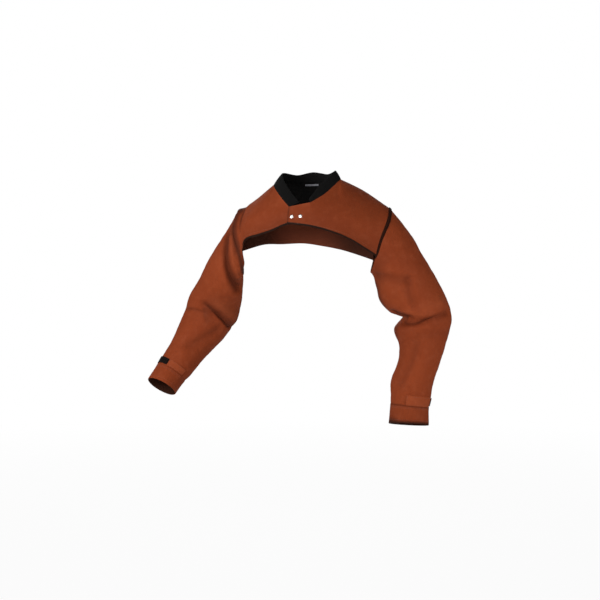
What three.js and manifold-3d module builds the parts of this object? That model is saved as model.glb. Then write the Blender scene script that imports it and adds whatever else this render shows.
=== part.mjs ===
// Welding cape sleeves: two leather sleeves joined by a short yoke with a stand-up collar,
// in the form they have when worn. Millimetres. +X is the wearer's left, +Y the wearer's
// back and +Z up. The origin is the middle of the neck, where the yoke sits on the shoulders.
import * as THREE from "three";
import { mergeVertices } from "three/addons/utils/BufferGeometryUtils.js";
import Module from "manifold-3d";

// Driving dimensions
const leatherWall = 2;
const collarWall = 3;
const cuffWall = 2.4;
const strapWall = 2;
const tapeWall = 2;
const facingWall = 1.2;
const labelWall = 0.8;
const sewnGap = 0.4; // clear space kept between two sewn pieces
const collarGap = 1;
const patchGap = 0.7; // under a strap, tape or label, which lies on a curved wall
const bindingHalfWidth = 3;
const bindingHalfHeight = 2.6;
const bindingLift = 0.5; // how far the binding stands proud of the leather
const bindingGap = 1.35; // clear space beside the binding, where the leather bends along its line
const bindingSeat = bindingHalfWidth + bindingGap; // leather stops this far from the armhole line
const cuffStep = 0.8; // the cuff stands this far outside the sleeve
const collarBow = 1; // the collar is bowed outwards by this much half way up
const snapCap = { radius: 5.6, height: 2.6 };
const snapFlange = { radius: 4.6, height: 1.2 };
const snapPostRadius = 1.8;
const snapHole = { radius: 2.3, length: 40 };

// Grid fineness
const columnsPerPanelRow = 3;
const panelLevels = 8;
const sleeveRings = 26;
const sleeveSides = 24;
const bindingSteps = 36;
const bindingSides = 8;

// Looks
const leather = { color: 0x8a3f22, roughness: 0.75, metalness: 0 };
const blackCloth = { color: 0x161414, roughness: 0.9, metalness: 0 };
const blackBinding = { color: 0x1c1210, roughness: 0.85, metalness: 0 };
const labelCloth = { color: 0x9a98a2, roughness: 0.8, metalness: 0 };
const nickel = { color: 0xd8d4cc, roughness: 0.25, metalness: 1 };

// Neckline, from the end of the collar at the wearer's left front round the back to the right.
// base is on the sewn line, and rise leads from it to the collar's upper edge.
const necklineRows = [
  { at: "left end", base: [44, -107, -26], rise: [-11, 12, 13] },
  { at: "left front", base: [73, -75, -1], rise: [-20, 8, 25] },
  { at: "left side", base: [98, -22, 40], rise: [-15, 0, 22] },
  { at: "left back", base: [42, 41, 31], rise: [-4, -5, 27] },
  { at: "centre back", base: [-8, 49, 28], rise: [0, -5, 37] },
  { at: "right back", base: [-58, 35, 29], rise: [9, -5, 28] },
  { at: "right side", base: [-97, -23, 31], rise: [21, 2, 28] },
  { at: "right front", base: [-58, -78, -5], rise: [25, 0, 18] },
  { at: "right end", base: [-21, -103.5, -37], rise: [27, 5, 12] },
];

// Yoke sections, from the centre front to the armhole. The top of each lies on the neckline
// (top is then a place in the list above) or on the shoulder seam.
const frontLeftRows = [
  { at: "lapping edge", hem: [-22, -113, -82], chest: [-21, -112, -63], top: [-19, -110, -37] },
  { at: "collar end", hem: [43, -118, -90], chest: [43, -114, -60], top: 0 },
  { at: "neck front", hem: [102, -112, -105], chest: [90, -104, -55], top: 1 },
  { at: "neck side", hem: [154, -95, -127], chest: [135, -82, -46], top: 2 },
  { at: "shoulder", hem: [189, -72, -152], chest: [186, -60, -68], top: [158, 3, 7.5] },
  { at: "armhole", hemTurn: 122 },
];
const frontRightRows = [
  { at: "lapped edge", hem: [34, -111, -85], chest: [33, -107.5, -70], top: [32, -101.5, -48] },
  { at: "collar end", hem: [-22, -106.7, -84], chest: [-22, -105.7, -64], top: 8 },
  { at: "neck front", hem: [-70, -106, -101], chest: [-66, -98, -58], top: 7 },
  { at: "neck side", hem: [-115, -92, -113], chest: [-112, -80, -48], top: 6 },
  { at: "shoulder", hem: [-174, -63, -130], chest: [-172, -60, -78], top: [-160, 3, -7] },
  { at: "armhole", hemTurn: 176 },
];
// Back sections, from the wearer's right armhole to the left.
const backRows = [
  { at: "right armhole", hemTurn: -100 },
  { at: "right shoulder", hem: [-180, 95, -136], blade: [-178, 75, -62], top: [-160, 3, -7] },
  { at: "right neck side", hem: [-130, 106, -135], blade: [-122, 80, -40], top: 6 },
  { at: "right neck", hem: [-64, 114, -133], blade: [-62, 93, -45], top: 5 },
  { at: "centre", hem: [-6, 117, -141], blade: [-7, 99, -48], top: 4 },
  { at: "left neck", hem: [54, 110, -152], blade: [48, 95, -46], top: 3 },
  { at: "left neck side", hem: [118, 93, -169], blade: [112, 80, -42], top: 2 },
  { at: "left shoulder", hem: [160, 78, -181], blade: [168, 75, -55], top: [158, 3, 7.5] },
  { at: "left armhole", hemTurn: -125 },
];

// Sleeve sections from the armhole to the wrist: the outer and inner edge of the sleeve, and
// its half depth from front to back. faces turns a section's front edge, in degrees, from
// straight ahead towards the wearer's left, and lean lifts it.
const leftSleeveRows = [
  { at: "armhole", outer: [227, 25, -42], inner: [181, -3, -215], deep: 58, faces: 22 },
  { at: "sleeve head", outer: [282, 42, -116], inner: [188, -1, -226], deep: 66 },
  { at: "upper arm", outer: [315, 60, -179], inner: [195, 8, -256], deep: 70 },
  { at: "swell", outer: [338, 77, -223], inner: [202, 19, -296], deep: 72 },
  { at: "over elbow", outer: [360, 90, -267], inner: [227, 35, -326], deep: 70 },
  { at: "elbow crease", outer: [380, 97, -326], inner: [259, 48, -338], deep: 64 },
  { at: "under elbow", outer: [376, 103, -370], inner: [234, 45, -373], deep: 65 },
  { at: "forearm", outer: [363, 94, -423], inner: [248, 47, -417], deep: 57 },
  { at: "mid forearm", outer: [349, 87, -475], inner: [246, 45, -462], deep: 52 },
  { at: "low forearm", outer: [332, 81, -531], inner: [228, 39, -515], deep: 48 },
  { at: "strap", outer: [328, 77, -567], inner: [227, 37, -556], deep: 45 },
  { at: "cuff seam", outer: [324, 73, -590], inner: [228, 35, -580], deep: 43 },
  { at: "mouth", outer: [324, 70, -639], inner: [225, 30, -633], deep: 43, faces: 22, lean: 11 },
];
const rightSleeveRows = [
  { at: "armhole", outer: [-229, 18, -45], inner: [-207, -2, -219], deep: 54, faces: 21 },
  { at: "sleeve head", outer: [-281, 20, -118], inner: [-225, 40, -237], deep: 68, faces: 20 },
  { at: "upper arm", outer: [-328, 34, -176], inner: [-239, 66, -264], deep: 76, faces: 22 },
  { at: "swell", outer: [-365, 46, -232], inner: [-252, 91, -294], deep: 76, faces: 22 },
  { at: "over elbow", outer: [-405, 55, -289], inner: [-267, 109, -322], deep: 70, faces: 24 },
  { at: "elbow", outer: [-422, 57, -334], inner: [-283, 113, -361], deep: 63 },
  { at: "under elbow", outer: [-431, 47, -364], inner: [-312, 93, -412], deep: 58 },
  { at: "forearm", outer: [-441, 24, -405], inner: [-354, 56, -467], deep: 52 },
  { at: "mid forearm", outer: [-449, 7, -433], inner: [-369, 37, -491], deep: 48 },
  { at: "strap", outer: [-461, -12, -465], inner: [-386, 16, -521], deep: 44 },
  { at: "cuff seam", outer: [-470, -26, -489], inner: [-399, 2, -538], deep: 42 },
  { at: "mouth", outer: [-486, -53, -530], inner: [-414, -26, -571], deep: 46, faces: 30, lean: 24 },
];

// Main folds of a sleeve: a groove (or, with a negative depth, a ridge) along a line from one
// place to another. A place is [section, turn]: turn is in degrees from the outer edge, with
// 90 at the front and 180 at the inner edge.
const leftSleeveFolds = [
  { at: "elbow crease", from: [5.45, 152], to: [4.88, 38], wide: 11, deep: 8 },
  { at: "roll over the crease", from: [4.5, 150], to: [4.3, 50], wide: 16, deep: -5 },
  { at: "pocket beside the crease", from: [4.0, 154], to: [4.72, 140], wide: 10, deep: 10 },
  { at: "second elbow fold", from: [6.3, 100], to: [6.2, 20], wide: 12, deep: 3 },
  { at: "forearm drag", from: [6.8, 110], to: [9, 130], wide: 14, deep: 5 },
  { at: "upper arm drag", from: [1.2, 155], to: [2.3, 86], wide: 14, deep: 7 },
  { at: "front drag", from: [2.3, 86], to: [4.3, 106], wide: 12, deep: 5 },
];
const rightSleeveFolds = [
  { at: "armhole seam", from: [0.18, 25], to: [0.24, 105], wide: 10, deep: 5 },
  { at: "shoulder drag", from: [0.6, 28], to: [2.3, 147], wide: 15, deep: 13 },
  { at: "underarm roll", from: [0.55, 60], to: [1.3, 140], wide: 9, deep: -4 },
  { at: "elbow drag", from: [4.3, 72], to: [5.42, 165], wide: 13, deep: 8 },
  { at: "low elbow drag", from: [5.9, 130], to: [7.3, 90], wide: 16, deep: 6 },
  { at: "outer elbow", from: [4.8, 12], to: [4.7, 92], wide: 9, deep: 2 },
];

// The front of an armhole curves into the sleeve: by how many sections, and up to which turn.
const armholeBows = {
  left: { deep: 0.12, end: 180 },
  right: { deep: 0.3, end: 138 },
};

// Wrist straps and the fastening tape beside them: sections along the sleeve, and turns round it.
const wristFittings = {
  left: { strapAt: [9.85, 10.92], strapTurns: [22, 105], tapeAt: [9.95, 10.82], tapeTurns: [-40, 18] },
  right: { strapAt: [9.12, 9.88], strapTurns: [64, 130], tapeAt: [9.16, 9.84], tapeTurns: [-12, 60] },
};

// Places on other pieces: the facing on the back panel, the label on the collar, the press
// studs on the outer front.
const facingPlace = { from: 2, to: 6, levels: [0.5, 0.625, 0.75, 0.875, 0.98] };
const labelPlace = { from: 3.68, to: 4.46, low: 0.06, high: 0.34 };
const snapPlaces = [
  { name: "snap_inner", u: 0.6, v: 0.47 },
  { name: "snap_outer", u: 0.2, v: 0.47 },
];

const vector = (row) => new THREE.Vector3(...row);
const radians = THREE.MathUtils.degToRad;
const smooth = THREE.MathUtils.smoothstep;
const spread = (from, to, steps) =>
  Array.from({ length: steps + 1 }, (_, i) => from + ((to - from) * i) / steps);

// A smooth line through points. t counts the points: 2.5 is half way from the third to the fourth.
function lineThrough(points, kind = "centripetal") {
  const curve = new THREE.CatmullRomCurve3(points, false, kind);
  return (t) => curve.getPoint(t / (points.length - 1));
}

// The direction turned from straight ahead towards the wearer's left, and lifted.
function facing(faces, lean) {
  const [turn, lift] = [radians(faces), radians(lean)];
  return new THREE.Vector3(Math.sin(turn) * Math.cos(lift), -Math.cos(turn) * Math.cos(lift), Math.sin(lift));
}

// Sleeve surface

// Returns point(section, turn) on the middle of the sleeve's wall; turn is in radians.
function sleeveSurface(rows, folds, bow, side) {
  const outer = rows.map((row) => vector(row.outer));
  const inner = rows.map((row) => vector(row.inner));
  const middle = rows.map((row, i) => outer[i].clone().lerp(inner[i], 0.5));
  const front = rows.map((row, i) => {
    const reach = outer[i].clone().sub(inner[i]).normalize();
    const onward = middle[Math.min(i + 1, rows.length - 1)].clone().sub(middle[Math.max(i - 1, 0)]);
    const ahead = row.faces === undefined
      ? onward.cross(reach).multiplyScalar(side)
      : facing(row.faces, row.lean ?? 0);
    ahead.addScaledVector(reach, -ahead.dot(reach));
    return ahead.setLength(row.deep);
  });
  const outerLine = lineThrough(outer);
  const innerLine = lineThrough(inner);
  const frontLine = lineThrough(front, "catmullrom");
  const plain = (section, turn) => {
    const a = outerLine(section);
    const b = innerLine(section);
    return a.clone().add(b).multiplyScalar(0.5)
      .addScaledVector(a.sub(b), 0.5 * Math.cos(turn))
      .addScaledVector(frontLine(section), Math.sin(turn));
  };
  const traces = folds.map((fold) => ({ ...fold, trace: foldTrace(plain, fold) }));
  return (place, turn) => {
    const section = bowedSection(place, turn, bow);
    const p = plain(section, turn);
    const away = p.clone().sub(outerLine(section).lerp(innerLine(section), 0.5)).normalize();
    const sinks = traces.map((fold) => fold.deep * Math.exp(-((nearest(p, fold.trace) / fold.wide) ** 2)));
    return p.addScaledVector(away, -sinks.reduce((sum, sink) => sum + sink, 0));
  };
}

// The section of a place near the armhole, whose front is bowed into the sleeve.
function bowedSection(section, turn, { deep, end }) {
  const share = THREE.MathUtils.euclideanModulo(turn, 2 * Math.PI) / radians(end);
  const reach = share < 1 ? deep * Math.sin(Math.PI * share) ** 2 : 0;
  return section + reach * THREE.MathUtils.clamp(1 - section, 0, 1) ** 3;
}

// The points of a fold's line on the unfolded sleeve.
function foldTrace(plain, { from, to }) {
  const mix = (key, share) => THREE.MathUtils.lerp(from[key], to[key], share);
  return spread(0, 1, 10).map((share) => plain(mix(0, share), radians(mix(1, share))));
}

// The distance from a point to a line of points.
function nearest(p, trace) {
  const on = new THREE.Vector3();
  return Math.min(...trace.slice(1).map((end, i) =>
    new THREE.Line3(trace[i], end).closestPointToPoint(p, true, on).distanceTo(p)));
}

const sleeves = {
  left: {
    side: 1,
    rows: leftSleeveRows,
    surface: sleeveSurface(leftSleeveRows, leftSleeveFolds, armholeBows.left, 1),
  },
  right: {
    side: -1,
    rows: rightSleeveRows,
    surface: sleeveSurface(rightSleeveRows, rightSleeveFolds, armholeBows.right, -1),
  },
};

// The armhole line: 0 degrees at the shoulder, 90 at the front, -90 at the back.
const armhole = (name, degrees) => sleeves[name].surface(0, radians(degrees));

const armholeLines = Object.fromEntries(Object.keys(sleeves).map((name) =>
  [name, spread(0, 360, 72).map((degrees) => armhole(name, degrees))]));

// Where leather that runs off the armhole line is first clear of the binding: a place between
// on, which lies on the line, and off, which is well away from it.
function clearOfBinding(name, pointAt, on, off) {
  let [near, far] = [on, off];
  for (let i = 0; i < 16; i++) {
    const place = (near + far) / 2;
    if (nearest(pointAt(place), armholeLines[name]) < bindingSeat) near = place;
    else far = place;
  }
  return far;
}

// Yoke surface

const neckline = lineThrough(necklineRows.map((row) => vector(row.base)));

// The points where a panel's sections meet its hem, its body and its upper edge.
function panelLines(rows, body, ends) {
  const point = (row, key, turnShare) => row.hemTurn === undefined
    ? vector(row[key])
    : armhole(ends[row.at], row.hemTurn * turnShare);
  const upper = (row) => typeof row.top === "number" ? neckline(row.top) : point(row, "top", 0);
  return {
    hem: lineThrough(rows.map((row) => point(row, "hem", 1))),
    body: lineThrough(rows.map((row) => point(row, body, 0.5))),
    upper: rows.map(upper),
    tops: rows.map((row) => row.top),
  };
}

const frontLines = {
  left: panelLines(frontLeftRows, "chest", { armhole: "left" }),
  right: panelLines(frontRightRows, "chest", { armhole: "right" }),
};
const backLines = panelLines(backRows, "blade", { "left armhole": "left", "right armhole": "right" });

// A panel's upper edge: it follows the neckline between two sections that lie on it, and is
// a smooth line across the shoulder.
function upperEdge(lines, shoulders) {
  return (u) => {
    const i = Math.min(Math.floor(u), lines.tops.length - 2);
    const [a, b] = [lines.tops[i], lines.tops[i + 1]];
    if (typeof a === "number" && typeof b === "number") return neckline(a + (b - a) * (u - i));
    const span = shoulders.find(([first, last]) => u >= first && u <= last);
    if (!span) return lines.upper[i].clone().lerp(lines.upper[i + 1], u - i);
    return lineThrough(lines.upper.slice(span[0], span[1] + 1))(u - span[0]);
  };
}

const frontShoulder = [[3, 5]];
const backShoulders = [[0, 2], [6, 8]];
const frontUpper = {
  left: upperEdge(frontLines.left, frontShoulder),
  right: upperEdge(frontLines.right, frontShoulder),
};
const backUpper = upperEdge(backLines, backShoulders);

// A point up one section: from the hem through the body to the upper edge. over is the point
// beyond the shoulder seam that the leather bends towards, and share is how far it counts.
function upSection(hem, body, upper, over, share, v) {
  const flat = upper.clone().multiplyScalar(2).sub(body);
  const beyond = flat.lerp(over, share);
  const line = new THREE.CatmullRomCurve3([hem, body, upper, beyond], false, "centripetal");
  return line.getPoint((v * 2) / 3);
}

// Draws a panel's points near its armhole column, edge, onto the armhole line.
function ontoArmhole(point, name, hemTurn, u, edge, v, at) {
  const near = smooth(1 - Math.abs(u - edge), 0, 1);
  if (near === 0) return point;
  const miss = armhole(name, hemTurn * (1 - v)).sub(at(edge, v));
  return point.addScaledVector(miss, near);
}

function frontPoint(name) {
  const lines = frontLines[name];
  const rows = name === "left" ? frontLeftRows : frontRightRows;
  const last = rows.length - 1;
  const plain = (u, v) => {
    const share = smooth(u, 2.6, 3.4);
    const backU = name === "left" ? u + 3 : 5 - u;
    const over = share > 0 ? backLines.body(backU) : lines.body(u);
    return upSection(lines.hem(u), lines.body(u), frontUpper[name](u), over, share, v);
  };
  return (u, v) => ontoArmhole(plain(u, v), name, rows[last].hemTurn, u, last, v, plain);
}

function backPoint() {
  const last = backRows.length - 1;
  const middle = last / 2;
  const plain = (u, v) => {
    const share = smooth(Math.abs(u - middle), 1.6, 2.4);
    const name = u > middle ? "left" : "right";
    const frontU = u > middle ? u - 3 : 5 - u;
    const over = share > 0 ? frontLines[name].body(frontU) : backLines.body(u);
    return upSection(backLines.hem(u), backLines.body(u), backUpper(u), over, share, v);
  };
  return (u, v) => {
    const point = ontoArmhole(plain(u, v), "right", backRows[0].hemTurn, u, 0, v, plain);
    return ontoArmhole(point, "left", backRows[last].hemTurn, u, last, v, plain);
  };
}

// Grids and walls

// A grid of points: one row for each v, one column for each u.
const gridOf = (us, vs, point) => vs.map((v) => us.map((u) => point(u, v)));

// Normals of a grid, on the side given by sign. ring says that the columns close on themselves.
function gridNormals(grid, sign, ring = false) {
  const lastRow = grid.length - 1;
  const columns = grid[0].length;
  const clamp = (c) => ring ? (c + columns) % columns : Math.min(Math.max(c, 0), columns - 1);
  return grid.map((row, r) => row.map((_, c) => {
    const across = row[clamp(c + 1)].clone().sub(row[clamp(c - 1)]);
    const along = grid[Math.min(r + 1, lastRow)][c].clone().sub(grid[Math.max(r - 1, 0)][c]);
    return across.cross(along).normalize().multiplyScalar(sign);
  }));
}

// Moves an edge of a grid back from a seam, towards its neighbours.
const pullBack = (point, neighbour, distance) =>
  point.addScaledVector(neighbour.clone().sub(point).normalize(), distance);
function pullRow(grid, edge, inside, distance) {
  grid[edge].forEach((point, c) => pullBack(point, grid[inside][c], distance));
}

// A wall of even thickness about a grid. lift moves it out along the normals. sign is that of
// the normals, and ring says that the columns close on themselves.
function wall(grid, normals, thickness, { sign, ring = false, lift = 0 }) {
  const rows = grid.length;
  const columns = grid[0].length;
  const faces = [thickness / 2, -thickness / 2];
  const position = faces.flatMap((half) => grid.flatMap((row, r) => row.flatMap((point, c) =>
    point.clone().addScaledVector(normals[r][c], lift + half).toArray())));
  const at = (face, r, c) => (face * rows + r) * columns + (c % columns);
  const index = [];
  const quad = (a, b, c, d) => index.push(...(sign > 0 ? [a, b, c, a, c, d] : [a, c, b, a, d, c]));
  const spans = ring ? columns : columns - 1;
  for (let r = 0; r < rows - 1; r++) {
    for (let c = 0; c < spans; c++) {
      quad(at(0, r, c), at(0, r, c + 1), at(0, r + 1, c + 1), at(0, r + 1, c));
      quad(at(1, r, c), at(1, r + 1, c), at(1, r + 1, c + 1), at(1, r, c + 1));
    }
  }
  for (let c = 0; c < spans; c++) {
    quad(at(1, 0, c), at(1, 0, c + 1), at(0, 0, c + 1), at(0, 0, c));
    quad(at(0, rows - 1, c), at(0, rows - 1, c + 1), at(1, rows - 1, c + 1), at(1, rows - 1, c));
  }
  for (let r = 0; !ring && r < rows - 1; r++) {
    quad(at(0, r, 0), at(0, r + 1, 0), at(1, r + 1, 0), at(1, r, 0));
    quad(at(1, r, columns - 1), at(1, r + 1, columns - 1), at(0, r + 1, columns - 1), at(0, r, columns - 1));
  }
  return geometryOf(position, index);
}

function geometryOf(position, index) {
  return new THREE.BufferGeometry()
    .setAttribute("position", new THREE.Float32BufferAttribute(position, 3))
    .setIndex(index);
}

const group = new THREE.Group();
function add(name, geometry, look) {
  const mesh = new THREE.Mesh(geometry, new THREE.MeshStandardMaterial(look));
  mesh.name = name;
  group.add(mesh);
  return mesh;
}

// Sleeves, cuffs, straps and fastening tapes

const around = spread(0, 2 * Math.PI, sleeveSides).slice(0, -1);
const seamSection = (rows) => rows.findIndex((row) => row.at === "cuff seam");

// The two panels that a sleeve is sewn from, as spans of its sides: they meet at the outer edge
// and at the inner edge.
const sleevePanels = { front: [0, sleeveSides / 2], back: [sleeveSides / 2, sleeveSides] };

function sleeveRing(name) {
  const { side, rows, surface } = sleeves[name];
  const starts = around.map((turn) => clearOfBinding(name, (section) => surface(section, turn), 0, 1));
  const grid = spread(0, 1, sleeveRings).map((share) => around.map((turn, c) =>
    surface(THREE.MathUtils.lerp(starts[c], seamSection(rows), share), turn)));
  const normals = gridNormals(grid, side, true);
  pullRow(grid, sleeveRings, sleeveRings - 1, sewnGap / 2);
  return { grid, normals, sign: side };
}

function sleevePanelWall(ring, [first, last]) {
  const part = (row) => spread(first, last, last - first).map((c) => row[c % sleeveSides].clone());
  const grid = ring.grid.map(part);
  for (const row of grid) {
    pullBack(row[0], row[1], sewnGap);
    pullBack(row.at(-1), row.at(-2), sewnGap);
  }
  return wall(grid, ring.normals.map(part), leatherWall, { sign: ring.sign });
}

function cuffWallSolid({ side, rows, surface }) {
  const seam = seamSection(rows);
  const grid = spread(seam, seam + 1, 3).map((section) => around.map((turn) => surface(section, turn)));
  const normals = gridNormals(grid, side, true);
  pullRow(grid, 0, 1, sewnGap / 2);
  return wall(grid, normals, cuffWall, { sign: side, ring: true, lift: cuffStep });
}

// A patch lying on a sleeve, between two sections and two turns, at a height above its wall.
function sleevePatch({ side, surface }, sections, turns, thickness, height) {
  const steps = Math.round(((turns[1] - turns[0]) * sleeveSides) / 360) + 1;
  const grid = spread(...sections, 2).map((section) =>
    spread(...turns, steps).map((turn) => surface(section, radians(turn))));
  return wall(grid, gridNormals(grid, side), thickness, { sign: side, lift: height + thickness / 2 });
}

const patchSeat = leatherWall / 2 + patchGap;
for (const [name, sleeve] of Object.entries(sleeves)) {
  const { strapAt, strapTurns, tapeAt, tapeTurns } = wristFittings[name];
  const ring = sleeveRing(name);
  for (const [half, span] of Object.entries(sleevePanels)) {
    add(`sleeve_${half}_${name}`, sleevePanelWall(ring, span), leather);
  }
  add(`cuff_${name}`, cuffWallSolid(sleeve), leather);
  add(`wrist_strap_${name}`, sleevePatch(sleeve, strapAt, strapTurns, strapWall, patchSeat), leather);
  add(`strap_tape_${name}`, sleevePatch(sleeve, tapeAt, tapeTurns, tapeWall, patchSeat), blackCloth);
}

// Yoke panels

const levels = spread(0, 1, panelLevels);
const frontColumns = spread(0, 5, 5 * columnsPerPanelRow);
const backColumns = spread(0, 8, 8 * columnsPerPanelRow);
const seam = 3 * columnsPerPanelRow; // the first column on the shoulder seam
const panels = {
  front_left: { columns: frontColumns, point: frontPoint("left"), sign: 1, ends: { left: 5 } },
  front_right: { columns: frontColumns, point: frontPoint("right"), sign: -1, ends: { right: 5 } },
  back: { columns: backColumns, point: backPoint(), sign: -1, ends: { right: 0, left: 8 } },
};
for (const panel of Object.values(panels)) {
  panel.grid = gridOf(panel.columns, levels, panel.point);
  panel.normals = gridNormals(panel.grid, panel.sign);
}

// Both sides of a shoulder seam lean the same way, so that their cut edges meet square.
function shareSeamNormals(front, backColumn) {
  const top = panelLevels;
  for (let c = seam; c < frontColumns.length; c++) {
    const shared = front.normals[top][c].clone().add(panels.back.normals[top][backColumn(c)]).normalize();
    front.normals[top][c].copy(shared);
    panels.back.normals[top][backColumn(c)].copy(shared);
  }
}
shareSeamNormals(panels.front_left, (c) => c + seam);
shareSeamNormals(panels.front_right, (c) => 5 * columnsPerPanelRow - c);

for (const { columns, point, grid, ends } of Object.values(panels)) {
  for (const [name, edge] of Object.entries(ends)) {
    const inside = edge === 0 ? 1 : edge - 1;
    grid.forEach((row, r) => {
      const place = clearOfBinding(name, (u) => point(u, levels[r]), edge, inside);
      row[columns.indexOf(edge)] = point(place, levels[r]);
    });
  }
  pullRow(grid, panelLevels, panelLevels - 1, sewnGap / 2);
}

for (const [name, panel] of Object.entries(panels)) {
  add(name, wall(panel.grid, panel.normals, leatherWall, { sign: panel.sign }), leather);
}

// Neck facing: black cloth inside the back, from the collar seam down

const facingSeat = leatherWall / 2 + 1.5 * patchGap + facingWall / 2;
const facingGrid = gridOf(spread(facingPlace.from, facingPlace.to, 4 * columnsPerPanelRow),
  facingPlace.levels, panels.back.point);
const facingSide = { sign: -1, lift: -facingSeat };
add("neck_facing", wall(facingGrid, gridNormals(facingGrid, -1), facingWall, facingSide), blackCloth);

// Armhole bindings

// A closed cord of oval section that follows the armhole line.
function bindingRing(name) {
  const { surface } = sleeves[name];
  const step = 360 / bindingSteps;
  const line = Array.from({ length: bindingSteps }, (_, i) => armhole(name, i * step));
  const centre = line.reduce((sum, p) => sum.add(p), new THREE.Vector3()).divideScalar(bindingSteps);
  const position = [];
  const index = [];
  line.forEach((point, i) => {
    const [next, last] = [line[(i + 1) % bindingSteps], line[(i + bindingSteps - 1) % bindingSteps]];
    const along = next.clone().sub(last).normalize();
    const down = surface(0.1, radians(i * step)).sub(point).normalize();
    const out = along.clone().cross(down).normalize();
    if (out.dot(point.clone().sub(centre)) < 0) out.negate();
    const across = out.clone().cross(along).normalize();
    for (let k = 0; k < bindingSides; k++) {
      const turn = (2 * Math.PI * k) / bindingSides;
      position.push(...point.clone()
        .addScaledVector(out, bindingLift + bindingHalfHeight * Math.sin(turn))
        .addScaledVector(across, bindingHalfWidth * Math.cos(turn)).toArray());
    }
  });
  const at = (i, k) => (i % bindingSteps) * bindingSides + (k % bindingSides);
  for (let i = 0; i < bindingSteps; i++) {
    for (let k = 0; k < bindingSides; k++) {
      const [a, b, c, d] = [at(i, k), at(i, k + 1), at(i + 1, k + 1), at(i + 1, k)];
      index.push(a, b, c, a, c, d);
    }
  }
  return geometryOf(position, index);
}
for (const name of Object.keys(sleeves)) add(`armhole_binding_${name}`, bindingRing(name), blackBinding);

// Collar and neck label

const rise = lineThrough(necklineRows.map((row) => vector(row.rise)), "catmullrom");
const collarColumns = spread(0, necklineRows.length - 1, 40);

function collarPoint(t, share) {
  const up = rise(t);
  const start = collarGap / up.length();
  return neckline(t).addScaledVector(up, start + (1 - start) * share);
}

function collarGrid(columns, shares) {
  const grid = gridOf(columns, shares, collarPoint);
  const normals = gridNormals(grid, 1);
  grid.forEach((row, r) => row.forEach((point, c) =>
    point.addScaledVector(normals[r][c], collarBow * 4 * shares[r] * (1 - shares[r]))));
  return { grid, normals };
}

const collar = collarGrid(collarColumns, spread(0, 1, 3));
add("collar", wall(collar.grid, collar.normals, collarWall, { sign: 1 }), blackCloth);

const labelColumns = spread(labelPlace.from, labelPlace.to, 6);
const label = collarGrid(labelColumns, [labelPlace.low, labelPlace.high]);
const labelSeat = collarWall / 2 + patchGap + labelWall / 2;
add("neck_label", wall(label.grid, label.normals, labelWall, { sign: 1, lift: -labelSeat }), labelCloth);

// Press studs: each joins the two fronts, through a hole in both

const wasm = await Module();
wasm.setup();

function solidOf(geometry) {
  const bare = geometry.clone();
  bare.deleteAttribute("normal");
  bare.deleteAttribute("uv");
  const merged = mergeVertices(bare);
  return new wasm.Manifold(new wasm.Mesh({
    numProp: 3,
    vertProperties: new Float32Array(merged.attributes.position.array),
    triVerts: new Uint32Array(merged.index.array),
  }));
}

function geometryOfSolid(solid) {
  const mesh = solid.getMesh();
  return geometryOf(Array.from(mesh.vertProperties), Array.from(mesh.triVerts));
}

// The stud's half outline from the back flange to the top of the cap, with the outer front's
// wall at height 0 and the inner front's wall apart below it.
function studGeometry(apart) {
  const half = leatherWall / 2 + 1.5 * sewnGap;
  const outline = [
    [0, -apart - half - snapFlange.height],
    [snapFlange.radius, -apart - half - snapFlange.height],
    [snapFlange.radius, -apart - half],
    [snapPostRadius, -apart - half],
    [snapPostRadius, -apart + half],
    [snapFlange.radius, -apart + half],
    [snapFlange.radius, -half],
    [snapPostRadius, -half],
    [snapPostRadius, half],
    [snapCap.radius, half],
    [snapCap.radius * 0.97, half + snapCap.height * 0.35],
    [snapCap.radius * 0.72, half + snapCap.height * 0.8],
    [snapCap.radius * 0.35, half + snapCap.height],
    [0, half + snapCap.height],
  ];
  return new THREE.LatheGeometry(outline.map(([r, z]) => new THREE.Vector2(r, z)), 10);
}

const outerFront = panels.front_left.point;

// How far the inner front lies below the outer one, middle to middle, along a stud's axis.
function frontGap(seat, normal) {
  const axis = new THREE.Ray(seat, normal.clone().negate());
  const inner = gridOf(spread(0, 1.2, 48), spread(0, 1, 40), panels.front_right.point).flat();
  const under = inner.reduce((a, b) => axis.distanceSqToPoint(a) < axis.distanceSqToPoint(b) ? a : b);
  return seat.clone().sub(under).dot(normal);
}

const byName = Object.fromEntries(group.children.map((mesh) => [mesh.name, mesh]));
const cuts = [];
for (const { name, u, v } of snapPlaces) {
  const small = 0.02;
  const seat = outerFront(u, v);
  const normal = outerFront(u + small, v).sub(seat).cross(outerFront(u, v + small).sub(seat)).normalize();
  const turn = new THREE.Quaternion().setFromUnitVectors(new THREE.Vector3(0, 1, 0), normal);
  const stud = add(name, studGeometry(frontGap(seat, normal)), nickel);
  stud.position.copy(seat);
  stud.quaternion.copy(turn);
  const hole = new THREE.CylinderGeometry(snapHole.radius, snapHole.radius, snapHole.length, 12);
  hole.applyQuaternion(turn).translate(...seat.toArray());
  cuts.push(solidOf(hole));
}
for (const name of ["front_left", "front_right"]) {
  const cut = cuts.reduce((solid, hole) => solid.subtract(hole), solidOf(byName[name].geometry));
  byName[name].geometry = geometryOfSolid(cut);
}

export default group;
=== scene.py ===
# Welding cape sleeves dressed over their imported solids: creased leather, black cloth, thread and nickel.
# Shapes are worked out in millimetres: +X is the wearer's left, +Y the wearer's back and +Z up.
import math

import bpy
import numpy as np
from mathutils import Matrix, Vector, noise


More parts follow.
